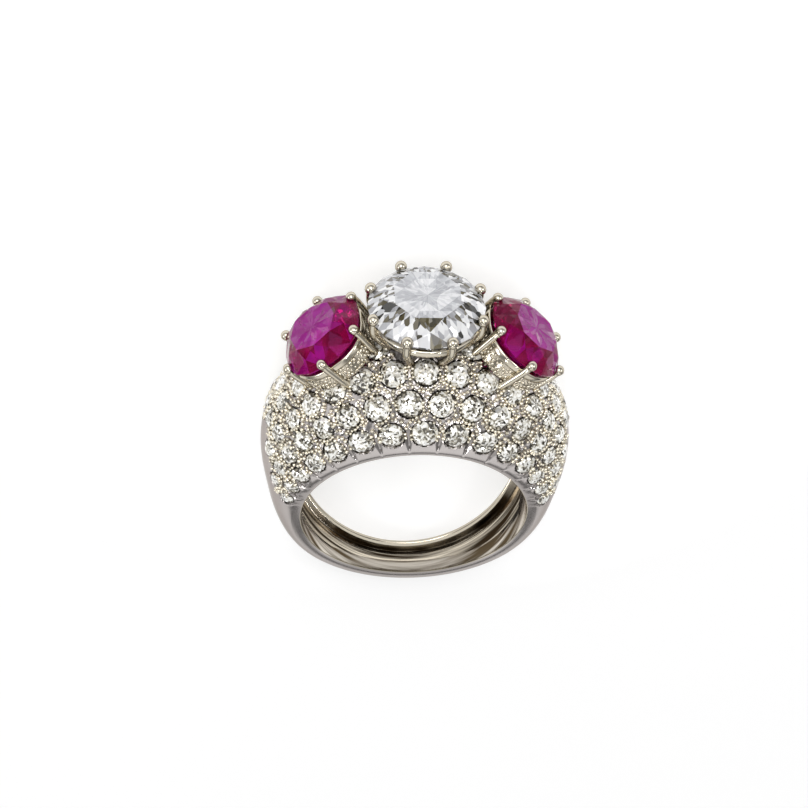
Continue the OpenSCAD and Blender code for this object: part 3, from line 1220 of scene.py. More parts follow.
        # painted highlight: the rims' rounded edges, and the channel's lips where it is open, take the
        # brighter finish
        edges = np.isin(strip, self.edge_strips) | (open_here & np.isin(strip, self.lip_strips))
        part = np.where(edges, BandPart.EDGE, part)
        part = np.where(open_here & np.isin(strip, self.channel_strips), BandPart.CHANNEL, part)
        shell.face_finish = part.reshape(-1)
        obj = build_mesh("band", shell, self.frame, sharp_deg=50.0)
        return add_piece(obj, [finishes[key] for key in BandPart], ["ring_mount"])


# Settings


def tube(path: Array, radius: Array, side: Array, count: int) -> Shell:
    """A round bar along a path that lies in a plane.

    Each ring of points lies square to the path, spanned by the plane's own normal and by the cross
    product of that normal and the path's direction. Both ends shrink to a point.

    Args:
        path: points along the middle.
        radius: radius at each of them.
        side: the plane's normal.
        count: points in a ring.

    Returns:
        The closed shell.
    """
    along = unit(np.gradient(path, axis=0))
    other = unit(np.cross(side, along))
    turn = circle(count)[None, :, None]
    ring = np.cos(turn) * other[:, None, :] + np.sin(turn) * side[None, None, :]
    points = path[:, None, :] + radius[:, None, None] * ring
    quads = grid_quads(len(path), count, False, True)[:, ::-1]
    k = np.arange(count)
    first, last = len(path) * count, len(path) * count + 1
    start = np.stack([np.full(count, first), k, (k + 1) % count], -1)
    base = (len(path) - 1) * count
    stop = np.stack([np.full(count, last), base + (k + 1) % count, base + k], -1)
    every = np.concatenate([points.reshape(-1, 3), path[:1], path[-1:]])
    return Shell(every, [quads, start[:, ::-1], stop[:, ::-1]], {"cut": np.zeros(len(every))})


@dataclass(frozen=True)
class ClawForm:
    """The claws of one setting: their number, the first one's angle, and the path of radius and height."""

    count: int
    first: float
    thick: float
    bead: float
    path: tuple[tuple[float, float], ...]


@dataclass
class Setting:
    """Claws and gallery rails that hold one main stone.

    Each of the rails has its outer radius, its lower height and its upper height, and the grains are the
    heights of the rows of grains on the last rail. bead_ends are the angles that a bead's rings leave free
    before and after it. A bend in a claw is smoothed from so many bend_samples, up to bend_share of
    bend_reach. grain_sink is the share of its radius that a grain's middle lies inside the rail.
    """

    name: str
    stone: MainStone
    frame: LyingFrame
    claws: ClawForm
    rails: tuple[tuple[float, float, float], ...]
    grains: tuple[float, ...] = ()
    claw_sides: int = 14
    claw_rings: int = 22
    bead_rings: int = 16
    bead_ends: tuple[float, float] = (0.12, 0.03)
    claw_room: float = 0.03
    tip_r: float = 0.004
    bend_reach: float = 0.5
    bend_share: float = 0.9
    bend_samples: int = 9
    hook: float = 0.12
    hook_from: float = 2.2
    rail_t: float = 0.5
    rail_power: float = 5.0
    rail_steps: int = 96
    rail_sides: int = 16
    rail_room: float = 0.04
    grain_gap: float = 0.32
    grain_r: float = 0.17
    grain_sink: float = 0.3
    grain_sizes: tuple[float, float] = (0.7, 1.15)
    grain_tilts: tuple[float, ...] = (-84.0, -40.0, 0.0, 40.0, 84.0)
    grain_sides: int = 8
    stray: float = 0.07
    seed: int = 21

    def claw(self, b: float) -> Shell:
        """One claw at angle b round the stone.

        The path's short table gives radius and height. Where it has a corner, the curve is the weighted
        mean of the path within bend_reach. The radius of the bar is constant up to the bead at its tip,
        where it follows a ball: the root of the ball's radius squared less the distance squared. The tip
        leans in over the stone, from hook_from of the bead's radii before its middle.

        Args:
            b: the angle in radians.

        Returns:
            The claw, about the stone's own axis.
        """
        scale = self.stone.outline(np.array(b)) / self.stone.radius
        knots = np.array(self.claws.path)
        knots[:, 0] = knots[:, 0] * scale
        steps = np.concatenate([[0.0], np.cumsum(np.linalg.norm(np.diff(knots, axis=0), axis=1))])
        ball, end = self.claws.bead / 2, steps[-1]
        before, after = self.bead_ends
        round_bead = np.linspace(before, math.pi - after, self.bead_rings)
        s = np.concatenate([np.linspace(0.0, end - ball, self.claw_rings), end - ball * np.cos(round_bead)])
        share = np.linspace(-self.bend_share, self.bend_share, self.bend_samples)
        reach = self.bend_reach if len(knots) > 2 else 0.0
        around, weights = [s + reach * d for d in share], 1.0 - share ** 2
        rho, z = (np.average([np.interp(at, steps, column) for at in around], axis=0, weights=weights)
                  for column in knots.T)
        over = np.clip(s - end, 0.0, None)
        direction = unit(knots[-1] - knots[-2])
        rho = rho + direction[0] * over - self.hook * smooth(s, end - self.hook_from * ball, end + ball)
        z = z + direction[1] * over
        bead = np.sqrt(np.maximum(ball ** 2 - (s - end) ** 2, 0.0))
        bar = np.where(s < end, self.claws.thick / 2, 0.0)
        radius = np.maximum(np.maximum(bead, bar), self.tip_r)
        path = np.stack([rho * math.cos(b), rho * math.sin(b), z], -1)
        side = np.array([-math.sin(b), math.cos(b), 0.0])
        shell = tube(path, radius, side, self.claw_sides)
        shell.points = self.stone.room(shell.points, self.claw_room)
        return shell

    def rail(self, radius: float, low: float, high: float) -> Shell:
        """A flat bar round the stone.

        Its outline is the girdle's outline at another size. Its section is a rectangle with rounded
        corners, whose points follow a p-norm circle of power rail_power.

        Args:
            radius: outer radius.
            low: lower height.
            high: upper height.

        Returns:
            The closed ring, about the stone's own axis.
        """
        b, q = circle(self.rail_steps), circle(self.rail_sides)
        c, s = np.cos(q), np.sin(q)
        size = (np.abs(c) ** self.rail_power + np.abs(s) ** self.rail_power) ** (-1 / self.rail_power)
        across, up = c * size * self.rail_t / 2, s * size * (high - low) / 2
        grow = self.stone.outline(b) / self.stone.radius
        rho = (radius * grow)[:, None] - self.rail_t / 2 + across[None, :]
        z = (low + high) / 2 + up[None, :] + 0 * rho
        points = np.stack([rho * np.cos(b)[:, None], rho * np.sin(b)[:, None], z], -1)
        points = self.stone.room(points, self.rail_room)
        quads = grid_quads(len(b), len(q), True, True)
        return Shell(points.reshape(-1, 3), [quads], {"cut": np.zeros(points[..., 0].size)})

    def grain_row(self, radius: float, up: float, start: float) -> Shell:
        """A row of grains round the collar: coarse balls that stray a little from their places.

        A ball's points are rings of grain_sides at the heights that grain_tilts gives as angles.

        Args:
            radius: distance of their middles from the axis.
            up: their height.
            start: turn of the first one, in steps.

        Returns:
            The balls, about the stone's own axis.
        """
        rng = np.random.default_rng(self.seed + round(-100.0 * up))
        count = int(2 * math.pi * radius / self.grain_gap)
        turned = 2 * math.pi * (np.arange(count) + start) / count
        b = turned + rng.uniform(-1.0, 1.0, count) * self.stray / radius
        z = up + rng.uniform(-1.0, 1.0, count) * self.stray
        size = self.grain_r * rng.uniform(*self.grain_sizes, count)
        rho = radius * self.stone.outline(b) / self.stone.radius
        middle = np.stack([rho * np.cos(b), rho * np.sin(b), z], -1)
        rows, sides = len(self.grain_tilts), self.grain_sides
        tilt, turn = np.meshgrid(np.radians(self.grain_tilts), circle(sides), indexing="ij")
        ball = np.stack([np.cos(tilt) * np.cos(turn), np.cos(tilt) * np.sin(turn), np.sin(tilt)], -1)
        points = middle[:, None] + size[:, None, None] * ball.reshape(-1, 3)
        first = (rows * sides * np.arange(count))[:, None, None]
        k = np.arange(sides)
        quads = (grid_quads(rows, sides, False, True)[None, :, ::-1] + first).reshape(-1, 4)
        ends = (np.stack([k[::-1], (rows - 1) * sides + k])[None] + first).reshape(-1, sides)
        return Shell(points.reshape(-1, 3), [quads, ends], {"cut": np.zeros(count * rows * sides)})

    def build(self, polished: bpy.types.Material) -> bpy.types.Object:
        """The whole setting as one piece.

        Args:
            polished: its finish.

        Returns:
            The piece.
        """
        shells = [self.claw(b) for b in self.claws.first + circle(self.claws.count)]
        shells += [self.rail(*rail) for rail in self.rails]
        if self.grains:
            radius = self.rails[-1][0] - self.grain_sink * self.grain_r
            shells += [self.grain_row(radius, up, 0.5 * i) for i, up in enumerate(self.grains)]
        whole = Shell.joined(shells)
        whole.points = self.stone.place(whole.points)
        obj = build_mesh(self.name, whole, self.frame, sharp_deg=60.0)
        return add_piece(obj, [polished], ["ring_mount"])


@dataclass
class Grains:
    """The raised metal grains that hold the small diamonds and fill the metal between them.

    Spots are tried from one of head_deg to the other, and across the skin up to across_share of its half
    width. A grain's points are rings of so many sides at the heights that tilts gives as angles.
    """

    form: BandForm
    stones: StoneField
    frame: LyingFrame
    size: float = 0.16
    overlap: float = 0.02
    gap: float = 0.24
    reach: float = 0.55
    dulled: float = 0.50
    sizes: tuple[float, float] = (0.72, 1.18)
    rim_room: float = 1.4
    tries: int = 60000
    stone_spots: int = 21
    head_deg: tuple[float, float] = (-12.0, 192.0)
    across_share: float = 0.98
    sides: int = 7
    tilts: tuple[float, ...] = (-45.0, 5.0, 50.0)
    seed: int = 7

    def back_on_skin(self, p: Array) -> tuple[Array, Array]:
        """The angles of the skin's point under point p, by turning its formulas round.

        Args:
            p: points near the skin.

        Returns:
            Angles round the finger and in the section.
        """
        a = np.arctan2(p[..., 1], p[..., 0])
        edge = self.form.half_w(self.form.rim_r * np.sin(a)) + self.form.rim_cut
        return a, np.arccos(np.clip(-p[..., 2] / edge, -1.0, 1.0))

    def ring_spots(self, stones: Array, rng: np.random.Generator) -> Array:
        """Spots close round each stone, evenly spaced from a random start.

        Args:
            stones: the small diamonds.
            rng: the seeded source.

        Returns:
            Points on the skin.
        """
        centre, _, across, other = self.form.seat(np.radians(stones[:, 0]), np.radians(stones[:, 1]))
        count = self.stone_spots
        turn = 2 * math.pi * (np.arange(count)[None, :] + rng.random((len(stones), 1))) / count
        r = stones[:, 2:3] + self.overlap
        ring = (centre[:, None] + (r * np.cos(turn))[..., None] * across[:, None]
                + (r * np.sin(turn))[..., None] * other[:, None])
        a, f = self.back_on_skin(ring)
        return self.form.skin(a, f).reshape(-1, 3)

    def places(self) -> tuple[Array, Array, Array]:
        """Where the grains sit: first close round each stone, then spread over what is left.

        A spot is taken if it lies outside every stone, near at least two of them or close round one, and
        not too near to a grain that was taken before.

        Returns:
            Angles round the finger, angles in the section, and radii.
        """
        rng = np.random.default_rng(self.seed)
        stones = self.stones.places()
        centre = self.form.skin(np.radians(stones[:, 0]), np.radians(stones[:, 1]))
        a = np.radians(rng.uniform(*self.head_deg, self.tries))
        f = np.arccos(rng.uniform(-self.across_share, self.across_share, self.tries))
        spots = np.concatenate([self.ring_spots(stones, rng), self.form.skin(a, f)])
        far = np.linalg.norm(spots[:, None] - centre[None], axis=-1) - stones[None, :, 2]
        near, second = np.partition(far, 1, axis=1)[:, :2].T
        room = self.form.half_w(spots[:, 1]) - np.abs(spots[:, 2])
        fits = (near > 0.0) & (second < self.reach) & (room > self.rim_room * self.size)
        taken = np.zeros((0, 3))
        for spot in spots[fits]:
            if not len(taken) or ((taken - spot) ** 2).sum(1).min() > self.gap ** 2:
                taken = np.concatenate([taken, spot[None]])
        a, f = self.back_on_skin(taken)
        return a, f, self.size * rng.uniform(*self.sizes, len(taken))

    def build(self, polished: bpy.types.Material) -> bpy.types.Object:
        """All grains as one piece: each is a ball whose lower part is in the skin.

        Above the ball's rings is a point, and below them a flat foot. Some grains are duller than others.

        Args:
            polished: their finish.

        Returns:
            The piece.
        """
        a, f, size = self.places()
        foot, n, side, other = self.form.seat(a, f)
        rows, sides = len(self.tilts), self.sides
        turn = circle(sides)[:, None]
        tilt = np.radians(self.tilts)[:, None, None]
        ring = np.cos(turn) * side[:, None, None] + np.sin(turn) * other[:, None, None]
        rings = np.cos(tilt) * ring + np.sin(tilt) * n[:, None, None]
        points = foot[:, None, None] + size[:, None, None, None] * rings
        top = foot + size[:, None] * n
        per = rows * sides + 1
        every = np.concatenate([points.reshape(len(foot), -1, 3), top[:, None]], axis=1).reshape(-1, 3)
        k = np.arange(sides)
        last = (rows - 1) * sides
        cap = np.stack([last + k, last + (k + 1) % sides, np.full(sides, per - 1)], -1)
        start = (per * np.arange(len(foot)))[:, None, None]
        faces = [
            (grid_quads(rows, sides, False, True)[None, :, ::-1] + start).reshape(-1, 4),
            (cap[None] + start).reshape(-1, 3),
            (k[None, None, ::-1] + start).reshape(-1, sides),
        ]
        dull = self.dulled * np.random.default_rng(self.seed).random(len(foot)) ** 2
        shell = Shell(every, faces, {"cut": np.repeat(dull, per)})
        LOG.info("grains: %d of them", len(foot))
        obj = build_mesh("grains", shell, self.frame, sharp_deg=70.0)
        return add_piece(obj, [polished], ["ring_mount"])


# Stones


class Corner(IntEnum):
    """Where each ring of a cut stone's corners starts, after the table's own 8 corners.

    The last two are the rings on a large stone's table.
    """

    STAR = 8
    UPPER = 16
    LOWER = 32
    HALF = 48
    POINT = 56
    MIDDLE = 57
    SIDE = 58
    INNER = 66
    OUTER = 74


@dataclass(frozen=True)
class Cut:
    """Proportions of a brilliant cut, as shares of the stone's radius."""

    table: float = 0.58
    star: float = 0.80
    crown: float = 0.33
    girdle: float = 0.03
    pavilion: float = 0.84
    lower: float = 0.30

    def points(self) -> Array:
        """The corners of all facets for a stone of radius 1, its girdle at 0.

        In the order of Corner: the table's 8 corners, 8 where the star facets end, 16 on the girdle's upper
        edge, 16 on its lower edge, 8 where the lower halves end, the point, the table's middle and the
        middles of its 8 sides. Heights follow from the flat main facets: a corner lies as far down its
        main facet as it lies out from the table.

        Returns:
            66 points.
        """
        half = math.pi / 8
        star_reach = self.star * math.cos(half)
        low_reach = self.lower * math.cos(half)
        star_up = self.crown * (1 - star_reach) / (1 - self.table)
        low_down = self.pavilion * (1 - low_reach)
        rings = [
            (self.table, 8, 0.0, self.girdle + self.crown),
            (self.star, 8, half, self.girdle + star_up),
            (1.0, 16, 0.0, self.girdle),
            (1.0, 16, 0.0, -self.girdle),
            (self.lower, 8, half, -self.girdle - low_down),
        ]
        made = []
        for radius, count, turn, up in rings:
            b = circle(count) + turn
            made.append(np.stack([radius * np.cos(b), radius * np.sin(b), np.full(count, up)], -1))
        high = self.girdle + self.crown
        made.append(np.array([[0.0, 0.0, -self.girdle - self.pavilion], [0.0, 0.0, high]]))
        b = circle(8) + half
        reach = self.table * math.cos(half)
        made.append(np.stack([reach * np.cos(b), reach * np.sin(b), np.full(8, high)], -1))
        return np.concatenate(made)

    @staticmethod
    def facets() -> list[Array]:
        """Corner numbers of the facets, by their number of corners.

        The table is a flat fan of 8 triangles about its middle, each halved at the middle of its side.

        Returns:
            Triangles: 16 of the table, 16 of the star facets, 16 upper halves and 16 lower halves. Quads:
            8 main facets above the girdle, 8 below it, and 16 of the girdle.
        """
        k = np.arange(8)
        n = (k + 1) % 8
        upper, lower = Corner.UPPER + 2 * k, Corner.LOWER + 2 * k
        mid, mid_low = upper + 1, lower + 1
        after, after_low = Corner.UPPER + 2 * n, Corner.LOWER + 2 * n
        star, halves, side = Corner.STAR + k, Corner.HALF + k, Corner.SIDE + k
        top, point = np.full(8, int(Corner.MIDDLE)), np.full(8, int(Corner.POINT))
        triangles = np.concatenate([
            np.stack([top, k, side], -1),
            np.stack([top, side, n], -1),
            np.stack([k, star, side], -1),
            np.stack([side, star, n], -1),
            np.stack([star, upper, mid], -1),
            np.stack([star, mid, after], -1),
            np.stack([halves, mid_low, lower], -1),
            np.stack([halves, after_low, mid_low], -1),
        ])
        quads = np.concatenate([
            np.stack([n, star, after, Corner.STAR + n], -1),
            np.stack([Corner.HALF + n, after_low, halves, point], -1),
            np.stack([upper, lower, mid_low, mid], -1),
            np.stack([mid, mid_low, after_low, after], -1),
        ])
        return [triangles, quads]

    def tones(self, count: int, rng: np.random.Generator) -> list[Array]:
        """How bright each facet of each small stone flashes, from 0 to 1.

        The table shows dark petals between pale rays. Its contrast is the stone's own. The facets round
        it are mostly bright, and some are dark by chance.

        Args:
            count: number of stones.
            rng: the seeded source.

        Returns:
            For the triangles and for the quads, one row for each stone.
        """
        def chance(low: float, high: float, dark: float, facets: int) -> Array:
            """Random tones between low and high for so many facets, of which a share is dark instead."""
            tone = rng.uniform(low, high, (count, facets))
            return np.where(rng.random((count, facets)) < dark, rng.uniform(0.0, 0.3, tone.shape), tone)

        petal = rng.uniform(0.0, 0.8, (count, 1)) + rng.uniform(-0.1, 0.3, (count, 8))
        ray = rng.uniform(0.5, 1.0, (count, 8))
        stars = chance(0.55, 1.0, 0.3, 16)
        upper = chance(0.45, 1.0, 0.4, 16)
        lower = chance(0.3, 0.8, 0.3, 16)
        mains = chance(0.7, 1.0, 0.25, 8)
        mains_low = chance(0.3, 0.8, 0.3, 8)
        girdle = chance(0.3, 0.7, 0.2, 16)
        triangles = np.concatenate([petal, ray, stars, upper, lower], axis=1)
        return [np.clip(triangles, 0.0, 1.0), np.concatenate([mains, mains_low, girdle], axis=1)]


@dataclass(frozen=True)
class LargeCut(Cut):
    """The same cut for a large stone, with its flat table divided as the facets below it show through."""

    inner: float = 0.20
    middle: float = 0.42
    table_facets: int = 48

    def points(self) -> Array:
        """The corners, and two rings of 8 points on the table.

        Returns:
            82 points.
        """
        half = math.pi / 8
        b = circle(8)
        high = np.full(8, self.girdle + self.crown)
        near = np.stack([self.inner * np.cos(b + half), self.inner * np.sin(b + half), high], -1)
        far = np.stack([self.middle * np.cos(b), self.middle * np.sin(b), high], -1)
        return np.concatenate([Cut.points(self), near, far])

    @staticmethod
    def facets() -> list[Array]:
        """Corner numbers as in the plain cut, with 48 triangles for the table instead of 16.

        Returns:
            Triangles and quads.
        """
        triangles, quads = Cut.facets()
        k = np.arange(8)
        n = (k + 1) % 8
        near, far, side = Corner.INNER + k, Corner.OUTER + k, Corner.SIDE + k
        next_near, next_far = Corner.INNER + n, Corner.OUTER + n
        table = np.concatenate([
            np.stack([np.full(8, int(Corner.MIDDLE)), near, next_near], -1),
            np.stack([near, far, next_far], -1),
            np.stack([next_far, next_near, near], -1),
            np.stack([far, k, side], -1),
            np.stack([far, side, next_far], -1),
            np.stack([next_far, side, n], -1),
        ])
        return [np.concatenate([table, triangles[16:]]), quads]


@dataclass
class Pave:
    """The small diamonds of one half of the head, each a little turned and tilted in its seat."""

    name: str
    node: str
    form: BandForm
    stones: StoneField
    frame: LyingFrame
    front: bool
    cut: Cut = Cut()
    sink: float = 0.12
    tilt: float = 5.0
    tilt_limit: float = 1.5
    broken: float = 0.58
    seed: int = 11

    def build(self, clear: bpy.types.Material) -> bpy.types.Object:
        """The stones as one piece.

        Each stone's corners are scaled by its radius, turned about its axis and tilted by seeded random
        angles, and set on the skin along its normal.

        Args:
            clear: their finish.

        Returns:
            The piece.
        """
        stones = self.stones.places()
        stones = stones[(stones[:, 1] > 90.0) == self.front]
        a, f, r = np.radians(stones[:, 0]), np.radians(stones[:, 1]), stones[:, 2]
        rng = np.random.default_rng(self.seed)
        centre, n, side, other = self.form.seat(a, f)
        most = self.tilt_limit
        lean = np.radians(self.tilt) * rng.standard_normal((len(r), 2)).clip(-most, most)
        axis = unit(n + lean[:, :1] * side + lean[:, 1:] * other)
        side = unit(side - (side * axis).sum(-1, keepdims=True) * axis)
        other = np.cross(axis, side)
        turn = rng.random(len(r)) * math.pi / 4
        x = np.cos(turn)[:, None] * side + np.sin(turn)[:, None] * other
        y = np.cross(axis, x)
        corners = self.cut.points()
        local = r[:, None, None] * corners[None]
        points = ((centre - self.sink * n)[:, None] + local[..., :1] * x[:, None]
                  + local[..., 1:2] * y[:, None] + local[..., 2:] * axis[:, None])
        start = (len(corners) * np.arange(len(r)))[:, None, None]
        faces = [(kind[None] + start).reshape(-1, kind.shape[1]) for kind in self.cut.facets()]
        shell = Shell(points.reshape(-1, 3), faces)
        tones = self.cut.tones(len(r), rng)
        tone = np.concatenate([t.reshape(-1) for t in tones])
        shell.face_values = {"tone": tone, "broken": np.full(len(tone), self.broken)}
        LOG.info("%s: %d stones", self.name, len(r))
        return add_piece(build_mesh(self.name, shell, self.frame), [clear], [self.node])


@dataclass
class MainGem:
    """One of the three main stones with its facets."""

    name: str
    node: str
    slot: Slot
    stone: MainStone
    frame: LyingFrame
    cut: LargeCut
    turn: float
    front_tones: tuple[float, float, float, float]
    table: tuple[float, float]
    crown: tuple[float, float]
    broken: tuple[float, float]
    seed: int = 5
    shrink: float = 0.999

    def tones(self) -> tuple[Array, Array]:
        """How bright each facet is, from 0 to 1, and how much of it the flakes take over.

        Each facet has its chance between the limits of the table or of the crown. The star facet that
        faces the front and the two below it are set apart, by halves bright and dark and hardly broken,
        since they show the dark setting through the stone.

        Returns:
            Two values for each facet, the triangles first.
        """
        rng = np.random.default_rng(self.seed)
        table = rng.uniform(*self.table, self.cut.table_facets)
        others = rng.uniform(*self.crown, sum(map(len, self.cut.facets())) - len(table))
        tone = np.concatenate([table, others])
        broken = np.where(np.arange(len(tone)) < len(table), *self.broken)
        middle = math.pi / 4 * (np.arange(8) + 0.5) + self.turn
        facing = int(np.argmin(angle_off(middle, math.radians(270.0))))
        for i, value in enumerate(self.front_tones):
            at = len(table) + 8 * i + facing
            tone[at], broken[at] = value, self.broken[0]
        return tone, broken

    def build(self, finish: bpy.types.Material) -> bpy.types.Object:
        """The stone as one piece.

        Its corners are turned about the axis and scaled: across by the girdle's outline in their
        direction, and along the axis by the radius.

        Args:
            finish: its finish.

        Returns:
            The piece.
        """
        corners = self.cut.points()
        b = np.arctan2(corners[:, 1], corners[:, 0]) + self.turn
        rho = np.hypot(corners[:, 0], corners[:, 1]) * self.stone.outline(b)
        local = np.stack([rho * np.cos(b), rho * np.sin(b), corners[:, 2] * self.stone.radius], -1)
        shell = Shell(self.stone.place(self.shrink * local), self.cut.facets())
        shell.values = {"across": local[:, 0] / self.stone.radius, "along": local[:, 1] / self.stone.radius}
        tone, broken = self.tones()
        shell.face_values = {"tone": tone, "broken": broken}
        return add_piece(build_mesh(self.name, shell, self.frame), [finish], [self.node])


# Studio


@dataclass(frozen=True)
class SoftLight:
    """A rectangular soft light: its middle, its width and height in metres, and its power in watts."""

    name: str
    place: tuple[float, float, float]
    size: tuple[float, float]
    power: float

    def build(self) -> None:
        """Adds the light, which faces the ring: its back is the direction from the ring to its place."""
        data = bpy.data.lights.new(self.name, "AREA")
        data.shape = "RECTANGLE"
        data.size, data.size_y = self.size
        data.energy = self.power
        obj = bpy.data.objects.new(self.name, data)
        back = unit(np.array(self.place))
        right = unit(np.cross(np.array([0.0, 1.0, 0.001]), back))
        up = np.cross(back, right)
        turn = Matrix(np.stack([right, up, back], -1).tolist())
        obj.matrix_world = Matrix.Translation(self.place) @ turn.to_4x4()
        bpy.context.scene.collection.objects.link(obj)


@dataclass(frozen=True)
class Studio:
    """Camera, floor and lights.

    The camera's angles, its pixels for each millimetre and the pixel of the ring's middle frame the ring as
    the picture does. The room's brightness is listed by height, from below to above, and by direction, from
    0 to 1 all round.
    """

    frame: LyingFrame
    down_deg: float = 45.14
    side_deg: float = 7.035
    roll_deg: float = 5.295
    scale_px: float = 13.551
    distance: float = 450.0
    centre_px: tuple[float, float] = (410.795, 478.145)
    sensor: float = 36.0
    floor_half: float = 1.5
    floor_points: int = 9
    by_height: tuple[tuple[float, float], ...] = (
        (0.0, 0.14), (0.08, 0.20), (0.20, 0.95), (0.60, 1.1), (0.80, 0.90), (1.0, 0.85),
    )
    by_side: tuple[tuple[float, float], ...] = (
        (0.02, 1.0), (0.07, 0.25), (0.13, 0.30), (0.19, 1.0), (0.31, 1.0), (0.36, 0.25),
        (0.44, 0.35), (0.51, 1.1), (0.60, 0.9), (0.66, 0.3), (0.80, 0.8), (0.90, 0.9),
    )
    lights: tuple[SoftLight, ...] = (
        SoftLight("key", (-0.05, 0.36, 0.52), (0.45, 0.40), 1.6),
        SoftLight("left", (-0.50, -0.10, 0.36), (0.10, 0.22), 0.55),
        SoftLight("right", (0.46, 0.16, 0.40), (0.08, 0.16), 0.40),
        SoftLight("spark_a", (-0.22, -0.30, 0.52), (0.05, 0.05), 0.22),
        SoftLight("spark_b", (0.26, -0.18, 0.56), (0.04, 0.04), 0.18),
        SoftLight("spark_c", (0.10, 0.10, 0.62), (0.04, 0.04), 0.15),
    )

    def axes(self) -> tuple[Array, Array, Array]:
        """The camera's right, up and back directions in the upright ring's frame.

        In a frame with X right, Y back and Z up, the view goes down by one angle and round by another, and
        the picture is then rolled.

        Returns:
            Three unit vectors, X right, Y to the head, Z to the front.
        """
        e, p, q = (math.radians(v) for v in (self.down_deg, self.side_deg, self.roll_deg))
        right = np.array([math.cos(p), -math.sin(p), 0.0])
        view = np.array([math.sin(p) * math.cos(e), math.cos(p) * math.cos(e), -math.sin(e)])
        up = np.cross(right, view)
        turned = math.cos(q) * right + math.sin(q) * up
        raised = -math.sin(q) * right + math.cos(q) * up
        return tuple(np.array([v[0], v[2], -v[1]]) for v in (turned, raised, -view))

    def camera(self) -> None:
        """Adds the camera at the photograph's angle, and shifts it so that the ring lies as framed."""
        right, up, back = self.axes()
        data = bpy.data.cameras.new("camera")
        data.sensor_width = self.sensor
        data.lens = self.scale_px * self.distance / PHOTO_SIDE * self.sensor
        data.shift_x = (PHOTO_SIDE / 2 - self.centre_px[0]) / PHOTO_SIDE
        data.shift_y = (self.centre_px[1] - PHOTO_SIDE / 2) / PHOTO_SIDE
        data.clip_start, data.clip_end = 0.01, 10.0
        obj = bpy.data.objects.new("camera", data)
        turn = self.frame.turn() @ Matrix(np.stack([right, up, back], -1).tolist())
        obj.matrix_world = Matrix.Translation(self.frame.place(back * self.distance)) @ turn.to_4x4()
        bpy.context.scene.collection.objects.link(obj)
        bpy.context.scene.camera = obj

    def floor(self, finish: bpy.types.Material) -> None:
        """Adds the floor, a fine grid that is level everywhere.

        Args:
            finish: its material.
        """
        side = np.linspace(-self.floor_half, self.floor_half, self.floor_points)
        x, y = np.meshgrid(side, side, indexing="ij")
        mesh = bpy.data.meshes.new("floor")
        points = np.stack([x, y, 0 * x], -1).reshape(-1, 3)
        mesh.from_pydata(points.tolist(), [], grid_quads(len(side), len(side), False, False).tolist())
        obj = bpy.data.objects.new("floor", mesh)
        obj.data.materials.append(finish)
        bpy.context.scene.collection.objects.link(obj)

    def sky(self) -> None:
        """Adds the room's soft light: a dim wall with pale panels all round, under a grey ceiling.

        One ramp gives the brightness by height and one by direction, and they are multiplied.
        """
        world = bpy.data.worlds.new("studio")
        world.use_nodes = True
        tree = world.node_tree
        place = tree.nodes.new("ShaderNodeTexCoord")
        split = tree.nodes.new("ShaderNodeSeparateXYZ")
        turn = tree.nodes.new("ShaderNodeTexGradient")
        turn.gradient_type = "RADIAL"
        by_height = fill_ramp(tree.nodes.new("ShaderNodeValToRGB"), greys(self.by_height))
        by_side = fill_ramp(tree.nodes.new("ShaderNodeValToRGB"), greys(self.by_side))
        both = tree.nodes.new("ShaderNodeMath")
        both.operation = "MULTIPLY"
        tree.links.new(place.outputs["Generated"], split.inputs["Vector"])
        tree.links.new(place.outputs["Generated"], turn.inputs["Vector"])
        tree.links.new(split.outputs["Z"], by_height.inputs["Fac"])
        tree.links.new(turn.outputs["Fac"], by_side.inputs["Fac"])
        tree.links.new(by_height.outputs["Color"], both.inputs[0])
        tree.links.new(by_side.outputs["Color"], both.inputs[1])
        tree.links.new(both.outputs["Value"], tree.nodes["Background"].inputs["Color"])
        bpy.context.scene.world = world

    def build(self, floor_finish: bpy.types.Material) -> None:
        """Sets up the whole studio.

        Args:
            floor_finish: material of the floor.
        """
        self.camera()
        self.floor(floor_finish)
        self.sky()
        for light in self.lights:
            light.build()
        bpy.context.scene.view_settings.view_transform = "Standard"


# The whole ring


def lying_frame(form: BandForm, stone: MainStone, claws: ClawForm) -> LyingFrame:
    """Where the ring lies, from the same sizes as its solids.

    The lean comes from the rims' slope. The middle of the part's box lies half way between the bottom of the
    shank and the furthest bead of the centre setting, both measured along the floor.

    Args:
        form: the band's sizes.
        stone: the centre stone.
        claws: its claws.

    Returns:
        The frame.
    """
    lean = math.atan(form.slope)
    low = form.rim_r * math.cos(lean) + math.hypot(
        (form.shank_t - form.rim_t) * math.cos(lean), form.half_w(-form.rim_r) * math.sin(lean))
    out, up = claws.path[-1]
    high = (stone.up + up) * math.cos(lean) + out * math.cos(claws.first) * math.sin(lean) + claws.bead / 2
    return LyingFrame(lean, (low - high) / 2, form.mid_half_w * math.cos(lean))


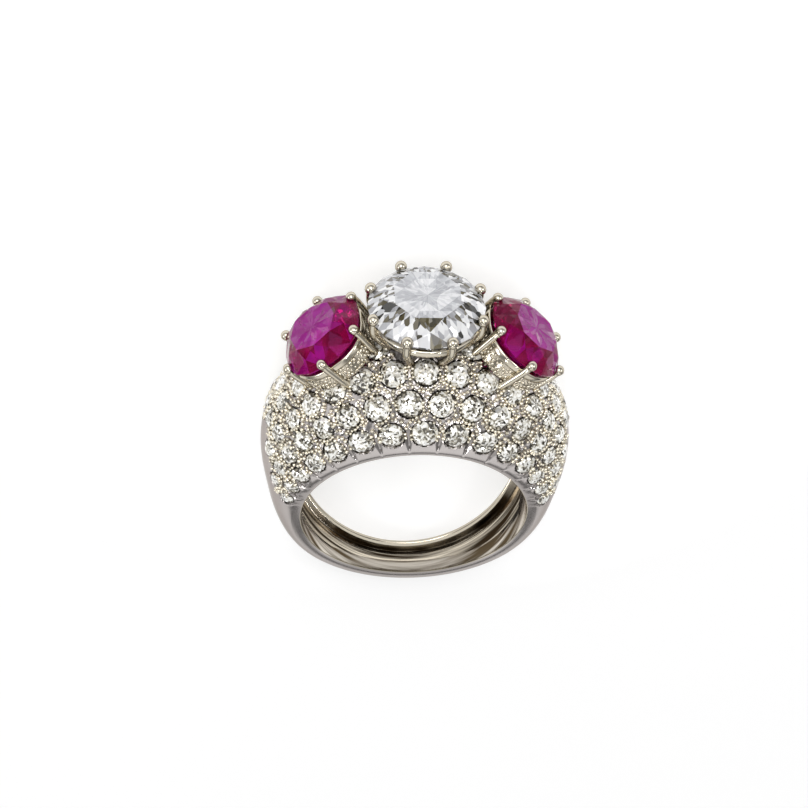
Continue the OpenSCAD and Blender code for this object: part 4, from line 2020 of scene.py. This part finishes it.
def stone_finishes() -> dict[Slot, bpy.types.Material]:
    """The finishes of the three kinds of stones, each with a ramp from its dark facets to its bright ones.

    Returns:
        The material for each slot.
    """
    cool = (
        (0.24, (0.010, 0.010, 0.008)), (0.33, (0.12, 0.10, 0.05)), (0.40, (0.34, 0.34, 0.36)),
        (0.50, (0.56, 0.57, 0.60)), (0.58, (0.84, 0.84, 0.86)), (0.72, (1.00, 1.00, 1.00)),
    )
    whites = (
        (0.24, (0.012, 0.010, 0.006)), (0.41, (0.07, 0.055, 0.025)), (0.50, (0.36, 0.33, 0.25)),
        (0.60, (0.88, 0.86, 0.79)), (0.75, (1.00, 1.00, 0.98)),
    )
    reds = (
        (0.00, (0.020, 0.001, 0.006)), (0.30, (0.17, 0.001, 0.025)), (0.55, (0.32, 0.003, 0.06)),
        (0.80, (0.42, 0.008, 0.27)), (1.00, (0.62, 0.020, 0.52)),
    )
    diamond = StoneFinish(
        "diamond", cool, shine=(0.4, 0.4, 0.4), ior=2.42, clear=0.20, mirror=0.10,
        pattern=Slivers(64.0, 9.0), bend=0.50, low_rough=0.0, high_rough=0.03)
    small = StoneFinish(
        "small_diamond", whites, shine=(1.0, 1.0, 1.0), ior=2.42, clear=0.0, mirror=0.35,
        pattern=Flakes(6600.0), bend=0.5, low_rough=0.06, high_rough=0.14)
    ruby = StoneFinish(
        "ruby", reds, shine=(0.20, 0.06, 0.20), ior=1.65, clear=0.60, mirror=0.0,
        pattern=Slivers(22.0, 4.0), bend=0.30, low_rough=0.0, high_rough=0.01)
    return {Slot.DIAMOND: diamond.make(), Slot.SMALL: small.make(), Slot.RUBY: ruby.make()}


def band_finishes(shade: Colour, lean: float) -> dict[BandPart, bpy.types.Material]:
    """The finishes of the band's parts.

    Args:
        shade: the colour of the painted shade that the value "cut" mixes into the metal.
        lean: lean of the lying ring.

    Returns:
        The material for each part.
    """
    outside = GoldFinish(
        "polished_white_gold", (0.55, 0.515, 0.50), shade, low_rough=0.10, high_rough=0.20, marks=0.10)
    # a brighter copy of the white gold: a painted highlight on the band's edges and lips, and the claws'
    # metal
    edge = GoldFinish("claws_and_edge_highlight", (0.62, 0.57, 0.47), shade, low_rough=0.08, high_rough=0.16, marks=0.05)
    wall = StreakedFinish(
        "inside_wall", (0.84, 0.79, 0.71), (0.10, 0.075, 0.045), rough=0.18, across_size=1300.0, lean=lean)
    channel = StreakedFinish(
        "channel", (0.76, 0.69, 0.57), (0.030, 0.020, 0.011), rough=0.20, across_size=2200.0, lean=lean)
    made = {BandPart.OUTSIDE: outside, BandPart.WALL: wall, BandPart.CHANNEL: channel, BandPart.EDGE: edge}
    return {part: finish.make() for part, finish in made.items()}


def main() -> None:
    """Builds the dressed ring and its studio, piece by piece."""
    logging.basicConfig(level=logging.INFO, format="%(message)s")
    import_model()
    form = BandForm()
    centre = MainStone(4.3, crown=1.25, pavilion=3.5, power=2.0, out=0.0, up=17.4, lean=0.0)
    out, lean = 7.35, math.radians(41.0)
    left = MainStone(3.3, crown=1.15, pavilion=2.5, power=2.4, out=-out, up=14.6, lean=-lean)
    right = replace(left, out=out, lean=lean)
    eight = ClawForm(8, math.pi / 8, thick=0.6, bead=0.9, path=((2.5, -3.4), (4.2, -1.1), (4.38, 0.32)))
    six = ClawForm(6, math.pi / 2, thick=0.6, bead=0.78, path=((2.97, -3.3), (3.38, 0.32)))
    rail = (4.15, -1.05, -0.45)
    ruby_rails = ((3.2, -1.05, -0.45), (3.05, -2.35, -0.75))
    grain_rows = (-1.24, -1.52, -1.80, -2.08)
    frame = lying_frame(form, centre, eight)
    small_stones = StoneField(form, (centre, left, right))

    # the dark colour that the value "cut" mixes in: painted shade on the band, random dullness on the grains
    shade = (0.035, 0.026, 0.015)
    metals = band_finishes(shade, frame.lean)
    bright = metals[BandPart.EDGE]
    # a much brighter copy of the white gold: a painted highlight on the grains
    beaded = GoldFinish(
        "grains_painted_highlight", (0.95, 0.89, 0.75), shade, low_rough=0.16, high_rough=0.26, marks=0.05)
    gems = stone_finishes()

    pieces = [Band(form, small_stones, frame).build(metals)]
    pieces.append(Setting("centre_setting", centre, frame, eight, (rail,)).build(bright))
    for name, stone in (("left_ruby_setting", left), ("right_ruby_setting", right)):
        pieces.append(Setting(name, stone, frame, six, ruby_rails, grain_rows).build(bright))
    pieces.append(Grains(form, small_stones, frame).build(beaded.make()))
    for name, node, front, seed in (
            ("pave_front_stones", "pave_front", True, 11), ("pave_back_stones", "pave_back", False, 12)):
        pave = Pave(name, node, form, small_stones, frame, front, seed=seed)
        pieces.append(pave.build(gems[Slot.SMALL]))
    brilliant = MainGem(
        "centre_brilliant", "centre_diamond", Slot.DIAMOND, centre, frame,
        LargeCut(table=0.60, star=0.80, crown=0.29, girdle=0.0116, pavilion=0.814, lower=0.36),
        turn=math.pi / 8, front_tones=(0.33, 0.28, 0.62, 0.34),
        table=(0.46, 0.59), crown=(0.05, 0.72), broken=(0.10, 0.68), seed=5)
    pieces.append(brilliant.build(gems[Slot.DIAMOND]))
    for name, node, stone, seed in (
            ("left_ruby_cut", "left_ruby", left, 5), ("right_ruby_cut", "right_ruby", right, 8)):
        cushion = MainGem(
            name, node, Slot.RUBY, stone, frame,
            LargeCut(table=0.60, star=0.80, crown=0.3485, girdle=0.0151, pavilion=0.757, lower=0.36),
            turn=0.0, front_tones=(0.35, 0.55, 0.75, 0.45),
            table=(0.88, 1.0), crown=(0.25, 0.9), broken=(0.06, 0.40), seed=seed)
        pieces.append(cushion.build(gems[Slot.RUBY]))
    for piece in pieces:
        report(piece)
    Studio(frame).build(FloorFinish("pale_floor", (0.66, 0.66, 0.66), glow=0.45).make())
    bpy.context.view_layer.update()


if __name__ == "__main__":
    main()
